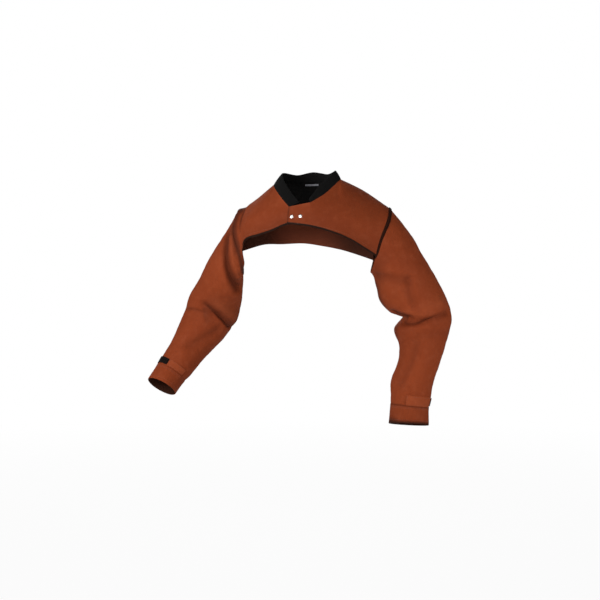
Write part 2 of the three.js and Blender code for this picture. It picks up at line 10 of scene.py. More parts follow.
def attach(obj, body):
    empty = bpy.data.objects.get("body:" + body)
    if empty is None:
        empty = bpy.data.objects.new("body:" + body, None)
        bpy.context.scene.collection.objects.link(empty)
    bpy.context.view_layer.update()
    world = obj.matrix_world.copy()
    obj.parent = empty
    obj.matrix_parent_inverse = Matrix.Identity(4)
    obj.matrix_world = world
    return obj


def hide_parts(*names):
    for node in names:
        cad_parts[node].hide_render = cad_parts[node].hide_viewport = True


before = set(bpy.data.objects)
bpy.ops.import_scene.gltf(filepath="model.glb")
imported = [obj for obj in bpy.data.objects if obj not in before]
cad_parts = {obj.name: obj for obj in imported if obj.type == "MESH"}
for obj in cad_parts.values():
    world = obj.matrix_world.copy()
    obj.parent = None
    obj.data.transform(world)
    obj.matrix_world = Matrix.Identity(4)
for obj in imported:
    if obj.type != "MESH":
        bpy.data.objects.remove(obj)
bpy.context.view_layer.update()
mm = 0.001
scene = bpy.context.scene
print("frame loaded with", len(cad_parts), "solids")


def link(thing):
    scene.collection.objects.link(thing)
    return thing


# Camera, floor and light
cameraSetup = {
    "azimuth": 22,  # degrees round towards the wearer's left
    "elevation": 2,
    "distance": 3.4,
    "aim": (-0.0221, -0.02, -0.2938),
    "frameWidth": 1.68,  # metres across the picture at the aim
    "sensor": 36,
}
stageSetup = {
    "floorHeight": -1.42,  # the shoulders of a standing wearer are this far above the floor
    "floorRadius": 60,
    "floorSides": 48,
    "paleFloor": (0.86, 0.86, 0.86),
    "backdrop": 1.0,  # brightness behind the garment
    "skyLight": 0.16,  # brightness of the even light that falls on it
    "floorGlow": 0.93,  # share of the floor's brightness that is its own, close to the garment
    "glowFade": (1.5, 6.0),  # metres from the neck over which the floor turns into the backdrop
}
softboxes = [
    {"name": "rightSoftbox", "azimuth": -30, "elevation": 13, "distance": 1.5, "size": 0.7, "power": 15.6},
    {"name": "leftSoftbox", "azimuth": 66, "elevation": -8, "distance": 1.15, "size": 0.7, "power": 4.8},
    {"name": "frontSoftbox", "azimuth": 18, "elevation": 5, "distance": 3.6, "size": 0.7, "power": 13},
    {"name": "backSoftbox", "azimuth": 202, "elevation": 35, "distance": 2.8, "size": 1.8, "power": 34},
]
lightAim = Vector((0, 0, -0.25))


def directionFrom(azimuth, elevation):
    turn, tilt = math.radians(azimuth), math.radians(elevation)
    return Vector((math.sin(turn) * math.cos(tilt), -math.cos(turn) * math.cos(tilt), math.sin(tilt)))


def lookAlong(thing, direction):
    thing.rotation_euler = direction.to_track_quat("-Z", "Y").to_euler()


def makeCamera(setup):
    towards = directionFrom(setup["azimuth"], setup["elevation"])
    data = bpy.data.cameras.new("photoCamera")
    data.sensor_width = setup["sensor"]
    data.lens = setup["sensor"] * setup["distance"] / setup["frameWidth"]
    camera = link(bpy.data.objects.new("photoCamera", data))
    camera.location = Vector(setup["aim"]) + towards * setup["distance"]
    lookAlong(camera, -towards)
    scene.camera = camera


def addNode(tree, kind, settings=None, inputs=None):
    node = tree.nodes.new(kind)
    for key, value in (settings or {}).items():
        setattr(node, key, value)
    for key, value in (inputs or {}).items():
        if isinstance(value, bpy.types.NodeSocket):
            tree.links.new(value, node.inputs[key])
        else:
            node.inputs[key].default_value = value
    return node


def makeWorld(setup):
    world = bpy.data.worlds.new("studioSky")
    scene.world = world
    world.use_nodes = True
    tree = world.node_tree
    tree.nodes.clear()
    seen = addNode(tree, "ShaderNodeLightPath")
    light, behind = (addNode(tree, "ShaderNodeBackground", inputs={
        "Color": (1, 1, 1, 1), "Strength": setup[key]}) for key in ("skyLight", "backdrop"))
    mix = addNode(tree, "ShaderNodeMixShader", inputs={
        "Fac": seen.outputs["Is Camera Ray"], 1: light.outputs[0], 2: behind.outputs[0]})
    addNode(tree, "ShaderNodeOutputWorld", inputs={"Surface": mix.outputs[0]})


def makeFloor(setup):
    rim = [(setup["floorRadius"] * math.cos(a), setup["floorRadius"] * math.sin(a), setup["floorHeight"])
           for a in np.linspace(0, 2 * math.pi, setup["floorSides"], endpoint=False)]
    mesh = bpy.data.meshes.new("floor")
    mesh.from_pydata(rim, [], [tuple(range(len(rim)))])
    floor = link(bpy.data.objects.new("floor", mesh))
    material = bpy.data.materials.new("paleFloor")
    material.use_nodes = True
    tree = material.node_tree
    tree.nodes.clear()
    place = addNode(tree, "ShaderNodeTexCoord")
    away = addNode(tree, "ShaderNodeVectorMath", {"operation": "LENGTH"}, {0: place.outputs["Object"]})
    fade = addNode(tree, "ShaderNodeMapRange", inputs={
        "Value": away.outputs["Value"], "From Min": setup["glowFade"][0], "From Max": setup["glowFade"][1],
        "To Min": setup["floorGlow"]})
    near = addNode(tree, "ShaderNodeBsdfDiffuse", inputs={"Color": (*setup["paleFloor"], 1)})
    far = addNode(tree, "ShaderNodeEmission", inputs={"Color": (1, 1, 1, 1), "Strength": setup["backdrop"]})
    seen = addNode(tree, "ShaderNodeLightPath")
    share = addNode(tree, "ShaderNodeMath", {"operation": "MULTIPLY"}, {
        0: fade.outputs["Result"], 1: seen.outputs["Is Camera Ray"]})
    mix = addNode(tree, "ShaderNodeMixShader", inputs={
        "Fac": share.outputs[0], 1: near.outputs[0], 2: far.outputs[0]})
    addNode(tree, "ShaderNodeOutputMaterial", inputs={"Surface": mix.outputs[0]})
    mesh.materials.append(material)


def makeLights(rows):
    for row in rows:
        data = bpy.data.lights.new(row["name"], "AREA")
        data.size = row["size"]
        data.energy = row["power"]
        light = link(bpy.data.objects.new(row["name"], data))
        towards = directionFrom(row["azimuth"], row["elevation"])
        light.location = lightAim + towards * row["distance"]
        light.visible_camera = False
        lookAlong(light, -towards)


makeCamera(cameraSetup)
makeWorld(stageSetup)
makeFloor(stageSetup)
makeLights(softboxes)
scene.view_settings.view_transform = "Standard"
print("camera, floor and light ready")


# Lines and surfaces
def unit(v):
    return v / np.maximum(np.linalg.norm(v, axis=-1, keepdims=True), 1e-9)


def smoothStep(x, low, high):
    t = np.clip((x - low) / (high - low), 0, 1)
    return t * t * (3 - 2 * t)


def stretch(p0, p1, p2, p3, w, even=False):  # one stretch of a smooth line, from p1 to p2
    d0, d1, d2 = (1.0 if even else np.sqrt(np.linalg.norm(b - a, axis=-1, keepdims=True))
                  for a, b in ((p0, p1), (p1, p2), (p2, p3)))
    m1 = ((p1 - p0) / d0 - (p2 - p0) / (d0 + d1) + (p2 - p1) / d1) * d1
    m2 = ((p2 - p1) / d1 - (p3 - p1) / (d1 + d2) + (p3 - p2) / d2) * d1
    w = w[..., None]
    bend = w ** 2 * (3 - 2 * w)
    return p1 + bend * (p2 - p1) + w * (1 - w) ** 2 * m1 - w ** 2 * (1 - w) * m2


def lineThrough(points, even=False):  # t counts the points
    points = np.asarray(points, float)
    held = np.vstack([2 * points[0] - points[1], points, 2 * points[-1] - points[-2]])

    def at(t):
        t = np.asarray(t, float)
        i = np.clip(np.floor(t).astype(int), 0, len(points) - 2)
        return stretch(held[i], held[i + 1], held[i + 2], held[i + 3], t - i, even)
    return at


def stretchesOf(trace, points):  # each stretch's direction, the nearest share of it and the way to the points
    for start, end in zip(trace[:-1], trace[1:]):
        onward = end - start
        share = np.clip((points - start) @ onward / (onward @ onward), 0, 1)
        yield onward, share, points - start - share[..., None] * onward


def distanceTo(points, trace):
    return np.min([np.linalg.norm(off, axis=-1) for _, _, off in stretchesOf(trace, points)], axis=0)


def gridNormals(grid, sign, ring=False):
    along = np.gradient(grid, axis=0)
    across = (np.roll(grid, -1, 1) - np.roll(grid, 1, 1)) / 2 if ring else np.gradient(grid, axis=1)
    return unit(np.cross(across, along)) * sign


def runLength(grid, axis):  # distance from the first row or column
    steps = np.linalg.norm(np.diff(grid, axis=axis), axis=-1)
    start = np.zeros_like(np.take(steps, [0], axis=axis))
    return np.cumsum(np.concatenate([start, steps], axis=axis), axis=axis)


def roughen(grid, normals, size, height, seed, keep=None):  # soft lumps of a given size
    flat = grid.reshape(-1, 3) / size + seed
    lumps = np.array([noise.noise(Vector(p)) for p in flat]).reshape(grid.shape[:2])
    if keep is not None:
        lumps = lumps * keep
    return grid + normals * (height * lumps)[..., None]


# Walls: an even skin about a grid, with its edges rounded over
rimTurns = np.radians([30, 60, 90])


def withRims(grid, half, ring):
    fade = np.ones(grid.shape[:2])
    for axis in ((0,) if ring else (0, 1)):
        layers = [np.moveaxis(values, axis, 0) for values in (grid, fade, half)]
        places, fades, halves = layers
        before, after = [], []
        for rows, edge, inside in ((before, 0, 1), (after, -1, -2)):
            off = unit(places[edge] - places[inside]) * halves[edge][..., None]
            rows.extend((places[edge] + off * math.sin(turn), fades[edge] * math.cos(turn), halves[edge])
                        for turn in rimTurns)
        before.reverse()
        longer = [np.concatenate([[row[k] for row in before], values, [row[k] for row in after]])
                  for k, values in enumerate(layers)]
        grid, fade, half = (np.moveaxis(values, 0, axis) for values in longer)
    return grid, fade, half


def quadsOf(index, ring):  # corners of the faces between rows of numbered points
    right = np.roll(index, -1, 1)
    corners = np.stack([index[:-1], right[:-1], right[1:], index[1:]], -1)
    return (corners if ring else corners[:, :-1]).reshape(-1, 4)


def setCut(mesh, places):  # where each vertex lies on the cut piece, in millimetres
    corner = np.zeros(len(mesh.loops), np.int32)
    mesh.loops.foreach_get("vertex_index", corner)
    mesh.uv_layers.new(name="cut").data.foreach_set("uv", (places * mm)[corner].astype(np.float32).ravel())


def wallMesh(name, grid, normals, half, sign, ring=False, marks=None, flat=None, under=None):
    half = np.broadcast_to(np.asarray(half, float), grid.shape[:2])
    rims = len(rimTurns)
    pad = ((rims, rims), (0, 0) if ring else (rims, rims))
    middle, fade, half = withRims(grid, half, ring)
    lift = np.pad(normals, (*pad, (0, 0)), mode="edge") * (half * fade)[..., None]
    rows, columns = middle.shape[:2]
    shared = np.zeros((rows, columns), bool)
    shared[[0, -1]] = True
    if not ring:
        shared[:, [0, -1]] = True
    outer = np.arange(rows * columns).reshape(rows, columns)
    inner = outer.copy()
    inner[~shared] = rows * columns + np.arange((~shared).sum())
    vertices = np.vstack([(middle + lift).reshape(-1, 3), (middle - lift)[~shared]]) * mm
    faces = [quadsOf(outer, ring), quadsOf(inner, ring)[:, ::-1]]
    if sign < 0:
        faces = [skin[:, ::-1] for skin in faces]
    mesh = bpy.data.meshes.new(name)
    mesh.from_pydata(vertices.tolist(), [], np.vstack(faces).tolist())
    marks = {**(marks or {}), "inside": np.zeros(grid.shape[:2])}
    under = {**marks, **(under or {}), "inside": np.ones(grid.shape[:2])}  # marks of the inner skin
    for key in marks:
        skins = [np.pad(np.broadcast_to(skin[key], grid.shape[:2]), pad, mode="edge")
                 for skin in (marks, under)]
        values = np.concatenate([skins[0].ravel(), skins[1][~shared]])
        mesh.attributes.new(key, "FLOAT", "POINT").data.foreach_set("value", values.astype(np.float32))
    if flat is not None:
        flat = np.pad(flat, (*pad, (0, 0)), mode="edge")
        setCut(mesh, np.vstack([flat.reshape(-1, 2), flat[~shared]]))
    mesh.shade_smooth()
    return mesh


def flatPlaces(grid):  # where each point lies on the cut piece, in millimetres
    return np.stack([runLength(grid, 1), runLength(grid, 0)], -1)


def addPiece(name, mesh, material, nodes=()):
    mesh.materials.clear()
    mesh.materials.append(material)
    piece = link(bpy.data.objects.new(name, mesh))
    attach(piece, "root")
    if nodes:
        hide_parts(*nodes)
    return piece


# Materials
def newMaterial(name):
    material = bpy.data.materials.new(name)
    material.use_nodes = True
    material.node_tree.nodes.clear()
    return material, material.node_tree


def noiseAt(tree, place, scale, detail=4, rough=0.55):
    return addNode(tree, "ShaderNodeTexNoise", inputs={
        "Vector": place, "Scale": scale, "Detail": detail, "Roughness": rough}).outputs["Fac"]


def ramp(tree, value, low, high, to=(0, 1)):
    node = addNode(tree, "ShaderNodeMapRange", inputs={
        "Value": value, "From Min": low, "From Max": high, "To Min": to[0], "To Max": to[1]})
    return node.outputs["Result"]


def blend(tree, share, a, b, kind="MIX"):
    node = addNode(tree, "ShaderNodeMix", {"data_type": "RGBA", "blend_type": kind})
    for socket, value in ((node.inputs["Factor"], share), (node.inputs[6], a), (node.inputs[7], b)):
        if isinstance(value, bpy.types.NodeSocket):
            tree.links.new(value, socket)
        else:
            socket.default_value = (*value, 1) if isinstance(value, tuple) else value
    return node.outputs[2]


def mark(tree, name):
    return addNode(tree, "ShaderNodeAttribute", {"attribute_name": name}).outputs["Fac"]


def arithmetic(tree, operation, a, b):
    return addNode(tree, "ShaderNodeMath", {"operation": operation}, {0: a, 1: b}).outputs[0]


def surface(tree, color, roughness, height, depth, fixed):
    bump = addNode(tree, "ShaderNodeBump", inputs={"Height": height, "Distance": depth, "Strength": 1.0})
    shader = addNode(tree, "ShaderNodeBsdfPrincipled", inputs={
        "Base Color": color, "Roughness": roughness, "Normal": bump.outputs[0], **fixed})
    addNode(tree, "ShaderNodeOutputMaterial", inputs={"Surface": shader.outputs[0]})


leatherLook = {
    "tan": (0.305, 0.0545, 0.0145),
    "rust": (0.25, 0.043, 0.0115),
    # the next colour is lighter leather for scuffs and painted highlight; after it come the painted shade of
    # creases, the inner skin painted darker, and near-black for the darkest painted shade and the hem band
    "scuffAndHighlight": (0.37, 0.081, 0.028),
    "crease": (0.085, 0.0165, 0.006),
    "inside": (0.19, 0.046, 0.021),
    "nearBlack": (0.016, 0.0055, 0.0025),
    "cloudScale": 7, "mottleScale": 55, "napScale": 900, "grainScale": 520,
    "mottleMost": 0.5, "napMost": 0.25, "creaseMost": 0.85, "ridgeMost": 0.45,  # how far each colour shows
    "roughness": (0.82, 0.6),
    "napHeight": 0.6,  # beside the grain's height
    "grainDepth": 0.0005,
}


def makeLeather(look):
    material, tree = newMaterial("splitLeather")
    place = addNode(tree, "ShaderNodeTexCoord").outputs["Object"]
    clouds = noiseAt(tree, place, look["cloudScale"], 3)
    mottle = noiseAt(tree, place, look["mottleScale"], 5, 0.65)
    nap = noiseAt(tree, place, look["napScale"], 3, 0.7)
    grain = addNode(tree, "ShaderNodeTexVoronoi", {"feature": "SMOOTH_F1"}, {
        "Vector": place, "Scale": look["grainScale"]}).outputs["Distance"]
    color = blend(tree, ramp(tree, clouds, 0.32, 0.68), look["rust"], look["tan"])
    color = blend(tree, ramp(tree, mottle, 0.5, 0.85, (0, look["mottleMost"])), color, look["scuffAndHighlight"])
    color = blend(tree, ramp(tree, nap, 0.25, 0.75, (look["napMost"], 0)), color, look["crease"])
    # the inner skin is painted darker, as shade
    color = blend(tree, ramp(tree, mark(tree, "inside"), 0.2, 0.8), color, look["inside"])
    # the crease mark paints shade; the ridge mark makes worn edges and raised rolls lighter: scuffing, and
    # painted highlight on the rolls
    for name, most, paint in (("crease", "creaseMost", "crease"), ("ridge", "ridgeMost", "scuffAndHighlight")):
        color = blend(tree, ramp(tree, mark(tree, name), 0, 1, (0, look[most])), color, look[paint])
    # the near-black mark paints the darkest shade, and the dark band along the front hems
    color = blend(tree, mark(tree, "nearBlack"), color, look["nearBlack"])
    roughness = ramp(tree, mottle, 0.3, 0.75, look["roughness"])
    height = arithmetic(tree, "ADD", arithmetic(tree, "MULTIPLY", nap, look["napHeight"]), grain)
    surface(tree, color, roughness, height, look["grainDepth"], {
        "Specular IOR Level": 0.1, "Sheen Weight": 0.03, "Sheen Roughness": 0.5,
        "Sheen Tint": (0.9, 0.5, 0.35, 1)})
    return material


clothLooks = {  # weave is the scale of its waves, a larger one is finer
    "blackCloth": {"dark": (0.0018, 0.0016, 0.0016), "light": (0.0075, 0.007, 0.0068), "weave": 62.5},
    "bindingCloth": {"dark": (0.013, 0.0026, 0.0009), "light": (0.034, 0.0078, 0.0026), "weave": 80},
    "fasteningTape": {"dark": (0.0035, 0.0019, 0.0015), "light": (0.0105, 0.006, 0.005), "weave": 45},
    "labelCloth": {"dark": (0.18, 0.18, 0.2), "light": (0.3, 0.3, 0.33), "weave": 110},
}
clothMake = {"waver": 0.4, "weaveDepth": 0.0004, "lintScale": 160, "lintMost": 0.5, "roughness": (0.95, 0.8)}


def makeCloth(name, look, make):
    material, tree = newMaterial(name)
    cut = addNode(tree, "ShaderNodeUVMap", {"uv_map": "cut"}).outputs[0]
    place = addNode(tree, "ShaderNodeTexCoord").outputs["Object"]
    waves = [addNode(tree, "ShaderNodeTexWave", {"bands_direction": way}, {
        "Vector": cut, "Scale": look["weave"], "Distortion": make["waver"]}).outputs["Fac"]
        for way in ("X", "Y")]
    woven = arithmetic(tree, "MAXIMUM", *waves)
    lint = noiseAt(tree, place, make["lintScale"], 5, 0.7)
    color = blend(tree, ramp(tree, woven, 0.4, 1.0), look["dark"], look["light"])
    color = blend(tree, ramp(tree, lint, 0.55, 0.9, (0, make["lintMost"])), color, look["light"])
    surface(tree, color, ramp(tree, lint, 0.3, 0.8, make["roughness"]), woven, make["weaveDepth"], {
        "Specular IOR Level": 0.1, "Sheen Weight": 0.01, "Sheen Roughness": 0.6})
    return material


nickelLook = {"worn": (0.62, 0.6, 0.57), "bright": (0.86, 0.85, 0.82), "rubScale": 700, "rubDepth": 0.00005,
              "roughness": (0.16, 0.34)}


def makeNickel(look):
    material, tree = newMaterial("brightNickel")
    place = addNode(tree, "ShaderNodeTexCoord").outputs["Object"]
    rub = noiseAt(tree, place, look["rubScale"], 4, 0.7)
    color = blend(tree, rub, look["worn"], look["bright"])
    roughness = ramp(tree, rub, 0.3, 0.8, look["roughness"])
    surface(tree, color, roughness, rub, look["rubDepth"], {"Metallic": 1.0})
    return material


threadLook = {"dark": (0.17, 0.036, 0.012), "light": (0.26, 0.055, 0.019), "twistScale": 1500,
              "twistDepth": 0.0001, "roughness": (0.7, 0.5)}


def makeThread(look):
    material, tree = newMaterial("sewingThread")
    place = addNode(tree, "ShaderNodeTexCoord").outputs["Object"]
    twist = noiseAt(tree, place, look["twistScale"], 2)
    color = blend(tree, twist, look["dark"], look["light"])
    roughness = ramp(tree, twist, 0.3, 0.7, look["roughness"])
    surface(tree, color, roughness, twist, look["twistDepth"], {"Sheen Weight": 0.2})
    return material


leather = makeLeather(leatherLook)
cloths = {name: makeCloth(name, look, clothMake) for name, look in clothLooks.items()}
nickel = makeNickel(nickelLook)
thread = makeThread(threadLook)
print("materials ready")


# Sleeves: a place on one is a section, counted along it, and degrees from its outer edge over the front
shadeAlone = {"groove": 0, "lip": 4, "left": (0, 5), "right": (0, 5), "fade": (0.3, 0.3)}  # painted shade alone, with no groove or roll
leftSleeve = {
    "name": "Left", "node": "left", "side": 1, "cuffSeam": 11, "seed": 3.1, "headRoll": 0,
    "seamBow": -0.03, "seamSway": 0.1, "bowEnd": 160,  # curves of the armhole's front, up to bowEnd degrees
    # outer and inner edge of each section and its half depth; faces and lean turn its front edge
    "rows": [
        {"at": "armhole", "outer": (227, 25, -42), "inner": (181, -3, -215), "deep": 58, "faces": 22},
        {"at": "sleeve head", "outer": (282, 42, -116), "inner": (188, -1, -226), "deep": 66},
        {"at": "upper arm", "outer": (315, 60, -179), "inner": (195, 8, -256), "deep": 70},
        {"at": "swell", "outer": (338, 77, -223), "inner": (202, 19, -296), "deep": 72},
        {"at": "over elbow", "outer": (360, 90, -267), "inner": (227, 35, -326), "deep": 70},
        {"at": "elbow crease", "outer": (380, 97, -326), "inner": (259, 48, -338), "deep": 64},
        {"at": "under elbow", "outer": (376, 103, -370), "inner": (234, 45, -373), "deep": 65},
        {"at": "forearm", "outer": (363, 94, -423), "inner": (248, 47, -417), "deep": 57},
        {"at": "mid forearm", "outer": (349, 87, -475), "inner": (246, 45, -462), "deep": 52},
        {"at": "low forearm", "outer": (332, 81, -531), "inner": (228, 39, -515), "deep": 48},
        {"at": "strap", "outer": (328, 77, -567), "inner": (227, 37, -556), "deep": 45},
        {"at": "cuff seam", "outer": (324, 73, -590), "inner": (228, 35, -580), "deep": 43},
        {"at": "mouth", "outer": (324, 70, -639), "inner": (225, 30, -633), "deep": 43,
         "faces": 22, "lean": 11},
    ],
    # broad grooves (or rolls, with a negative depth) from one place to another
    "folds": [
        {"at": "elbow crease", "from": (5.45, 152), "to": (4.88, 38), "wide": 11, "deep": 8},
        {"at": "roll over the crease", "from": (4.5, 150), "to": (4.3, 50), "wide": 16, "deep": -5},
        {"at": "pocket beside the crease", "from": (4.0, 154), "to": (4.72, 140), "wide": 10, "deep": 10},
        {"at": "second elbow fold", "from": (6.3, 100), "to": (6.2, 20), "wide": 12, "deep": 3},
        {"at": "forearm drag", "from": (6.8, 110), "to": (9, 130), "wide": 14, "deep": 5},
        {"at": "upper arm drag", "from": (1.2, 155), "to": (2.3, 86), "wide": 14, "deep": 7},
        {"at": "front drag", "from": (2.3, 86), "to": (4.3, 106), "wide": 12, "deep": 5},
    ],
    # sharp lines through places, with the rolls to their left and right seen from outside: height, reach;
    # shade is how far the painted shade along each line spreads to each side, the next number how dark that
    # painted shade is, and the last pair the shares of the line over which it fades in and out
    "creases": [
        {"at": "elbow crease", "groove": 2.8, "lip": 3.5, "left": (4, 9), "right": (1.4, 12),
         "fade": (0.2, 0.45), "shade": (8, 3), "worn": 0.5, "shadeEnds": (0.5, 0.6),
         "along": [(5.2, 195), (5.42, 165), (5.54, 145), (5.54, 122), (5.44, 113), (5.22, 103), (5.06, 89),
                   (4.96, 74), (4.92, 47), (4.9, 10)]},
        {"at": "pocket edge", "groove": 3, "lip": 4, "left": (2, 10), "right": (2.5, 7),
         "fade": (0.3, 0.2), "shade": (17, 16), "worn": 1, "shadeEnds": (0.45, 0.06),
         "along": [(3.7, 170), (3.96, 159), (4.28, 158), (4.6, 156), (4.8, 153), (4.92, 146)]},
        # painted shade under the arm and along the inner edges, where the sleeve turns away from the light
        {"at": "rubbed underarm", **shadeAlone, "shade": (26, 26), "worn": 0.4, "shadeEnds": (0.4, 0.1),
         "along": [(0.05, 92), (0.12, 115), (0.3, 140), (0.6, 160), (1.2, 165), (1.9, 170)]},
        {"at": "rubbed inner edge", **shadeAlone, "shade": (16, 16), "worn": 0.85, "shadeEnds": (0.3, 0.15),
         "along": [(0.9, 172), (1.5, 170), (2.1, 172), (2.6, 170), (3.2, 170), (3.6, 172)]},
        {"at": "rubbed edge under the elbow", **shadeAlone, "shade": (13, 13), "worn": 0.75,
         "shadeEnds": (0.25, 0.4), "along": [(5.55, 170), (5.85, 166), (6.1, 166), (6.4, 170), (6.75, 180)]},
    ],
    "wrist": {"strapAt": (9.85, 10.92), "strapTurns": (22, 105),
              "tapeAt": (9.95, 10.82), "tapeTurns": (-40, 18)},
    "cuff": {"seamShade": 0.6, "tone": 0.1, "edgeShade": 0.9, "edgeReach": 6, "innerReach": 14},
}
rightSleeve = {
    "name": "Right", "node": "right", "side": -1, "cuffSeam": 10, "seed": 8.4, "headRoll": 2,
    "seamBow": 0.3, "seamSway": 0, "bowEnd": 138,
    "rows": [
        {"at": "armhole", "outer": (-229, 18, -45), "inner": (-207, -2, -219), "deep": 54, "faces": 21},
        {"at": "sleeve head", "outer": (-281, 20, -118), "inner": (-225, 40, -237), "deep": 68, "faces": 20},
        {"at": "upper arm", "outer": (-328, 34, -176), "inner": (-239, 66, -264), "deep": 76, "faces": 22},
        {"at": "swell", "outer": (-365, 46, -232), "inner": (-252, 91, -294), "deep": 76, "faces": 22},
        {"at": "over elbow", "outer": (-405, 55, -289), "inner": (-267, 109, -322), "deep": 70, "faces": 24},
        {"at": "elbow", "outer": (-422, 57, -334), "inner": (-283, 113, -361), "deep": 63},
        {"at": "under elbow", "outer": (-431, 47, -364), "inner": (-312, 93, -412), "deep": 58},
        {"at": "forearm", "outer": (-441, 24, -405), "inner": (-354, 56, -467), "deep": 52},
        {"at": "mid forearm", "outer": (-449, 7, -433), "inner": (-369, 37, -491), "deep": 48},
        {"at": "strap", "outer": (-461, -12, -465), "inner": (-386, 16, -521), "deep": 44},
        {"at": "cuff seam", "outer": (-470, -26, -489), "inner": (-399, 2, -538), "deep": 42},
        {"at": "mouth", "outer": (-486, -53, -530), "inner": (-414, -26, -571), "deep": 46,
         "faces": 30, "lean": 24},
    ],
    "folds": [
        {"at": "armhole seam", "from": (0.18, 25), "to": (0.24, 105), "wide": 10, "deep": 5},
        {"at": "shoulder drag", "from": (0.6, 28), "to": (2.3, 147), "wide": 15, "deep": 13},
        {"at": "underarm roll", "from": (0.55, 60), "to": (1.3, 140), "wide": 9, "deep": -4},
        {"at": "elbow drag", "from": (4.3, 72), "to": (5.42, 165), "wide": 13, "deep": 8},
        {"at": "low elbow drag", "from": (5.9, 130), "to": (7.3, 90), "wide": 16, "deep": 6},
        {"at": "outer elbow", "from": (4.8, 12), "to": (4.7, 92), "wide": 9, "deep": 2},
    ],
    # the creases' shade, darkness and fading are painted shade, as on the left sleeve
    "creases": [
        {"at": "shoulder drag", "groove": 3, "lip": 7, "left": (3, 13), "right": (2, 16),
         "fade": (0.3, 0.25), "shade": (19, 10), "worn": 0.57, "shadeEnds": (0.15, 0.3),
         "along": [(0.62, 12), (0.84, 46), (1.2, 74), (1.62, 96), (1.94, 117), (2.3, 149), (2.5, 180)]},
        {"at": "elbow drag", "groove": 3, "lip": 4.5, "left": (8, 21), "right": (3, 7),
         "fade": (0.35, 0.45), "shade": (40, 5), "worn": 0.6, "shadeEnds": (0.175, 0.12),
         "along": [(4.1, 62), (4.36, 82), (4.7, 105), (5.06, 124), (5.38, 146), (5.4, 185), (5.3, 215)]},
        {"at": "inner forearm facet", "groove": 0.5, "lip": 6, "left": (0.4, 14), "right": (0.8, 12),
         "fade": (0.3, 0.35), "shade": (18, 4), "worn": 0.4, "shadeEnds": (0.15, 0.2),
         "along": [(4.4, 70), (4.72, 76), (5.3, 86), (5.9, 99)]},
        {"at": "outer elbow", "groove": 1, "lip": 5, "left": (1.2, 9), "right": (1, 9),
         "fade": (0.3, 0.3), "shade": (5, 5), "worn": 0.25, "shadeEnds": (0.15, 0.3),
         "along": [(4.8, 8), (4.76, 30), (4.68, 53), (4.7, 74), (4.75, 96)]},
    ],
    "wrist": {"strapAt": (9.12, 9.88), "strapTurns": (64, 130),
              "tapeAt": (9.16, 9.84), "tapeTurns": (-12, 60)},
    "cuff": {"seamShade": 0.1, "tone": 0, "edgeShade": 0, "edgeReach": 6, "innerReach": 6},
}
sleeveMake = {
    "wall": 2, "sides": 232, "rings": 330, "seamGap": 0.4,
    "foldPoints": 11, "creasePoints": 41,  # points on the line that stands for each fold or crease
    "headReach": 8, "headEase": 0.5, "cuffEase": 0.4,  # lumps fade out over the last sections at both ends
    # painted shade along the armhole and cuff seams, near-black right at the armhole seam
    "seamShade": 20, "cuffShade": 3, "seamDark": 0.42, "darkReach": 6,
    "sinkShade": 20, "sinkMost": 0.4, "ridgeHeight": 8,  # painted shade grows with depth, and height makes the leather lighter, as scuffing and painted highlight
    "stitchColumn": 2,
    "lumps": [{"size": 60, "height": 1.6}, {"size": 24, "height": 0.9}, {"size": 9, "height": 0.35}],
}


def rollOver(distance, height, reach):  # a rounded roll that starts at a line and is highest at its reach
    return height * distance / reach * np.exp((1 - (distance / reach) ** 2) / 2)


def creaseShape(points, outward, crease, trace):  # height above the plain skin, and how much painted shade it gets
    nearest = np.full(points.shape[:-1], np.inf)
    side, share = np.zeros(nearest.shape), np.zeros(nearest.shape)
    for stretchNumber, (onward, along, off) in enumerate(stretchesOf(trace, points)):
        far = np.linalg.norm(off, axis=-1)
        closer = far < nearest
        nearest = np.where(closer, far, nearest)
        side = np.where(closer, (off * np.cross(outward, onward)).sum(-1), side)
        share = np.where(closer, (stretchNumber + along) / (len(trace) - 1), share)
    fade, shadeFade = (smoothStep(share, 0, crease[key][0]) * smoothStep(1 - share, 0, crease[key][1])
                      for key in ("fade", "shadeEnds"))
    left, right = (rollOver(nearest, *crease[key]) for key in ("left", "right"))
    groove = crease["groove"] * np.exp(-(nearest / crease["lip"]) ** 2)
    paintedShade = crease["worn"] * np.exp(-(nearest / np.where(side > 0, *crease["shade"])) ** 2)
    return (np.where(side > 0, left, right) - groove) * fade, paintedShade * shadeFade


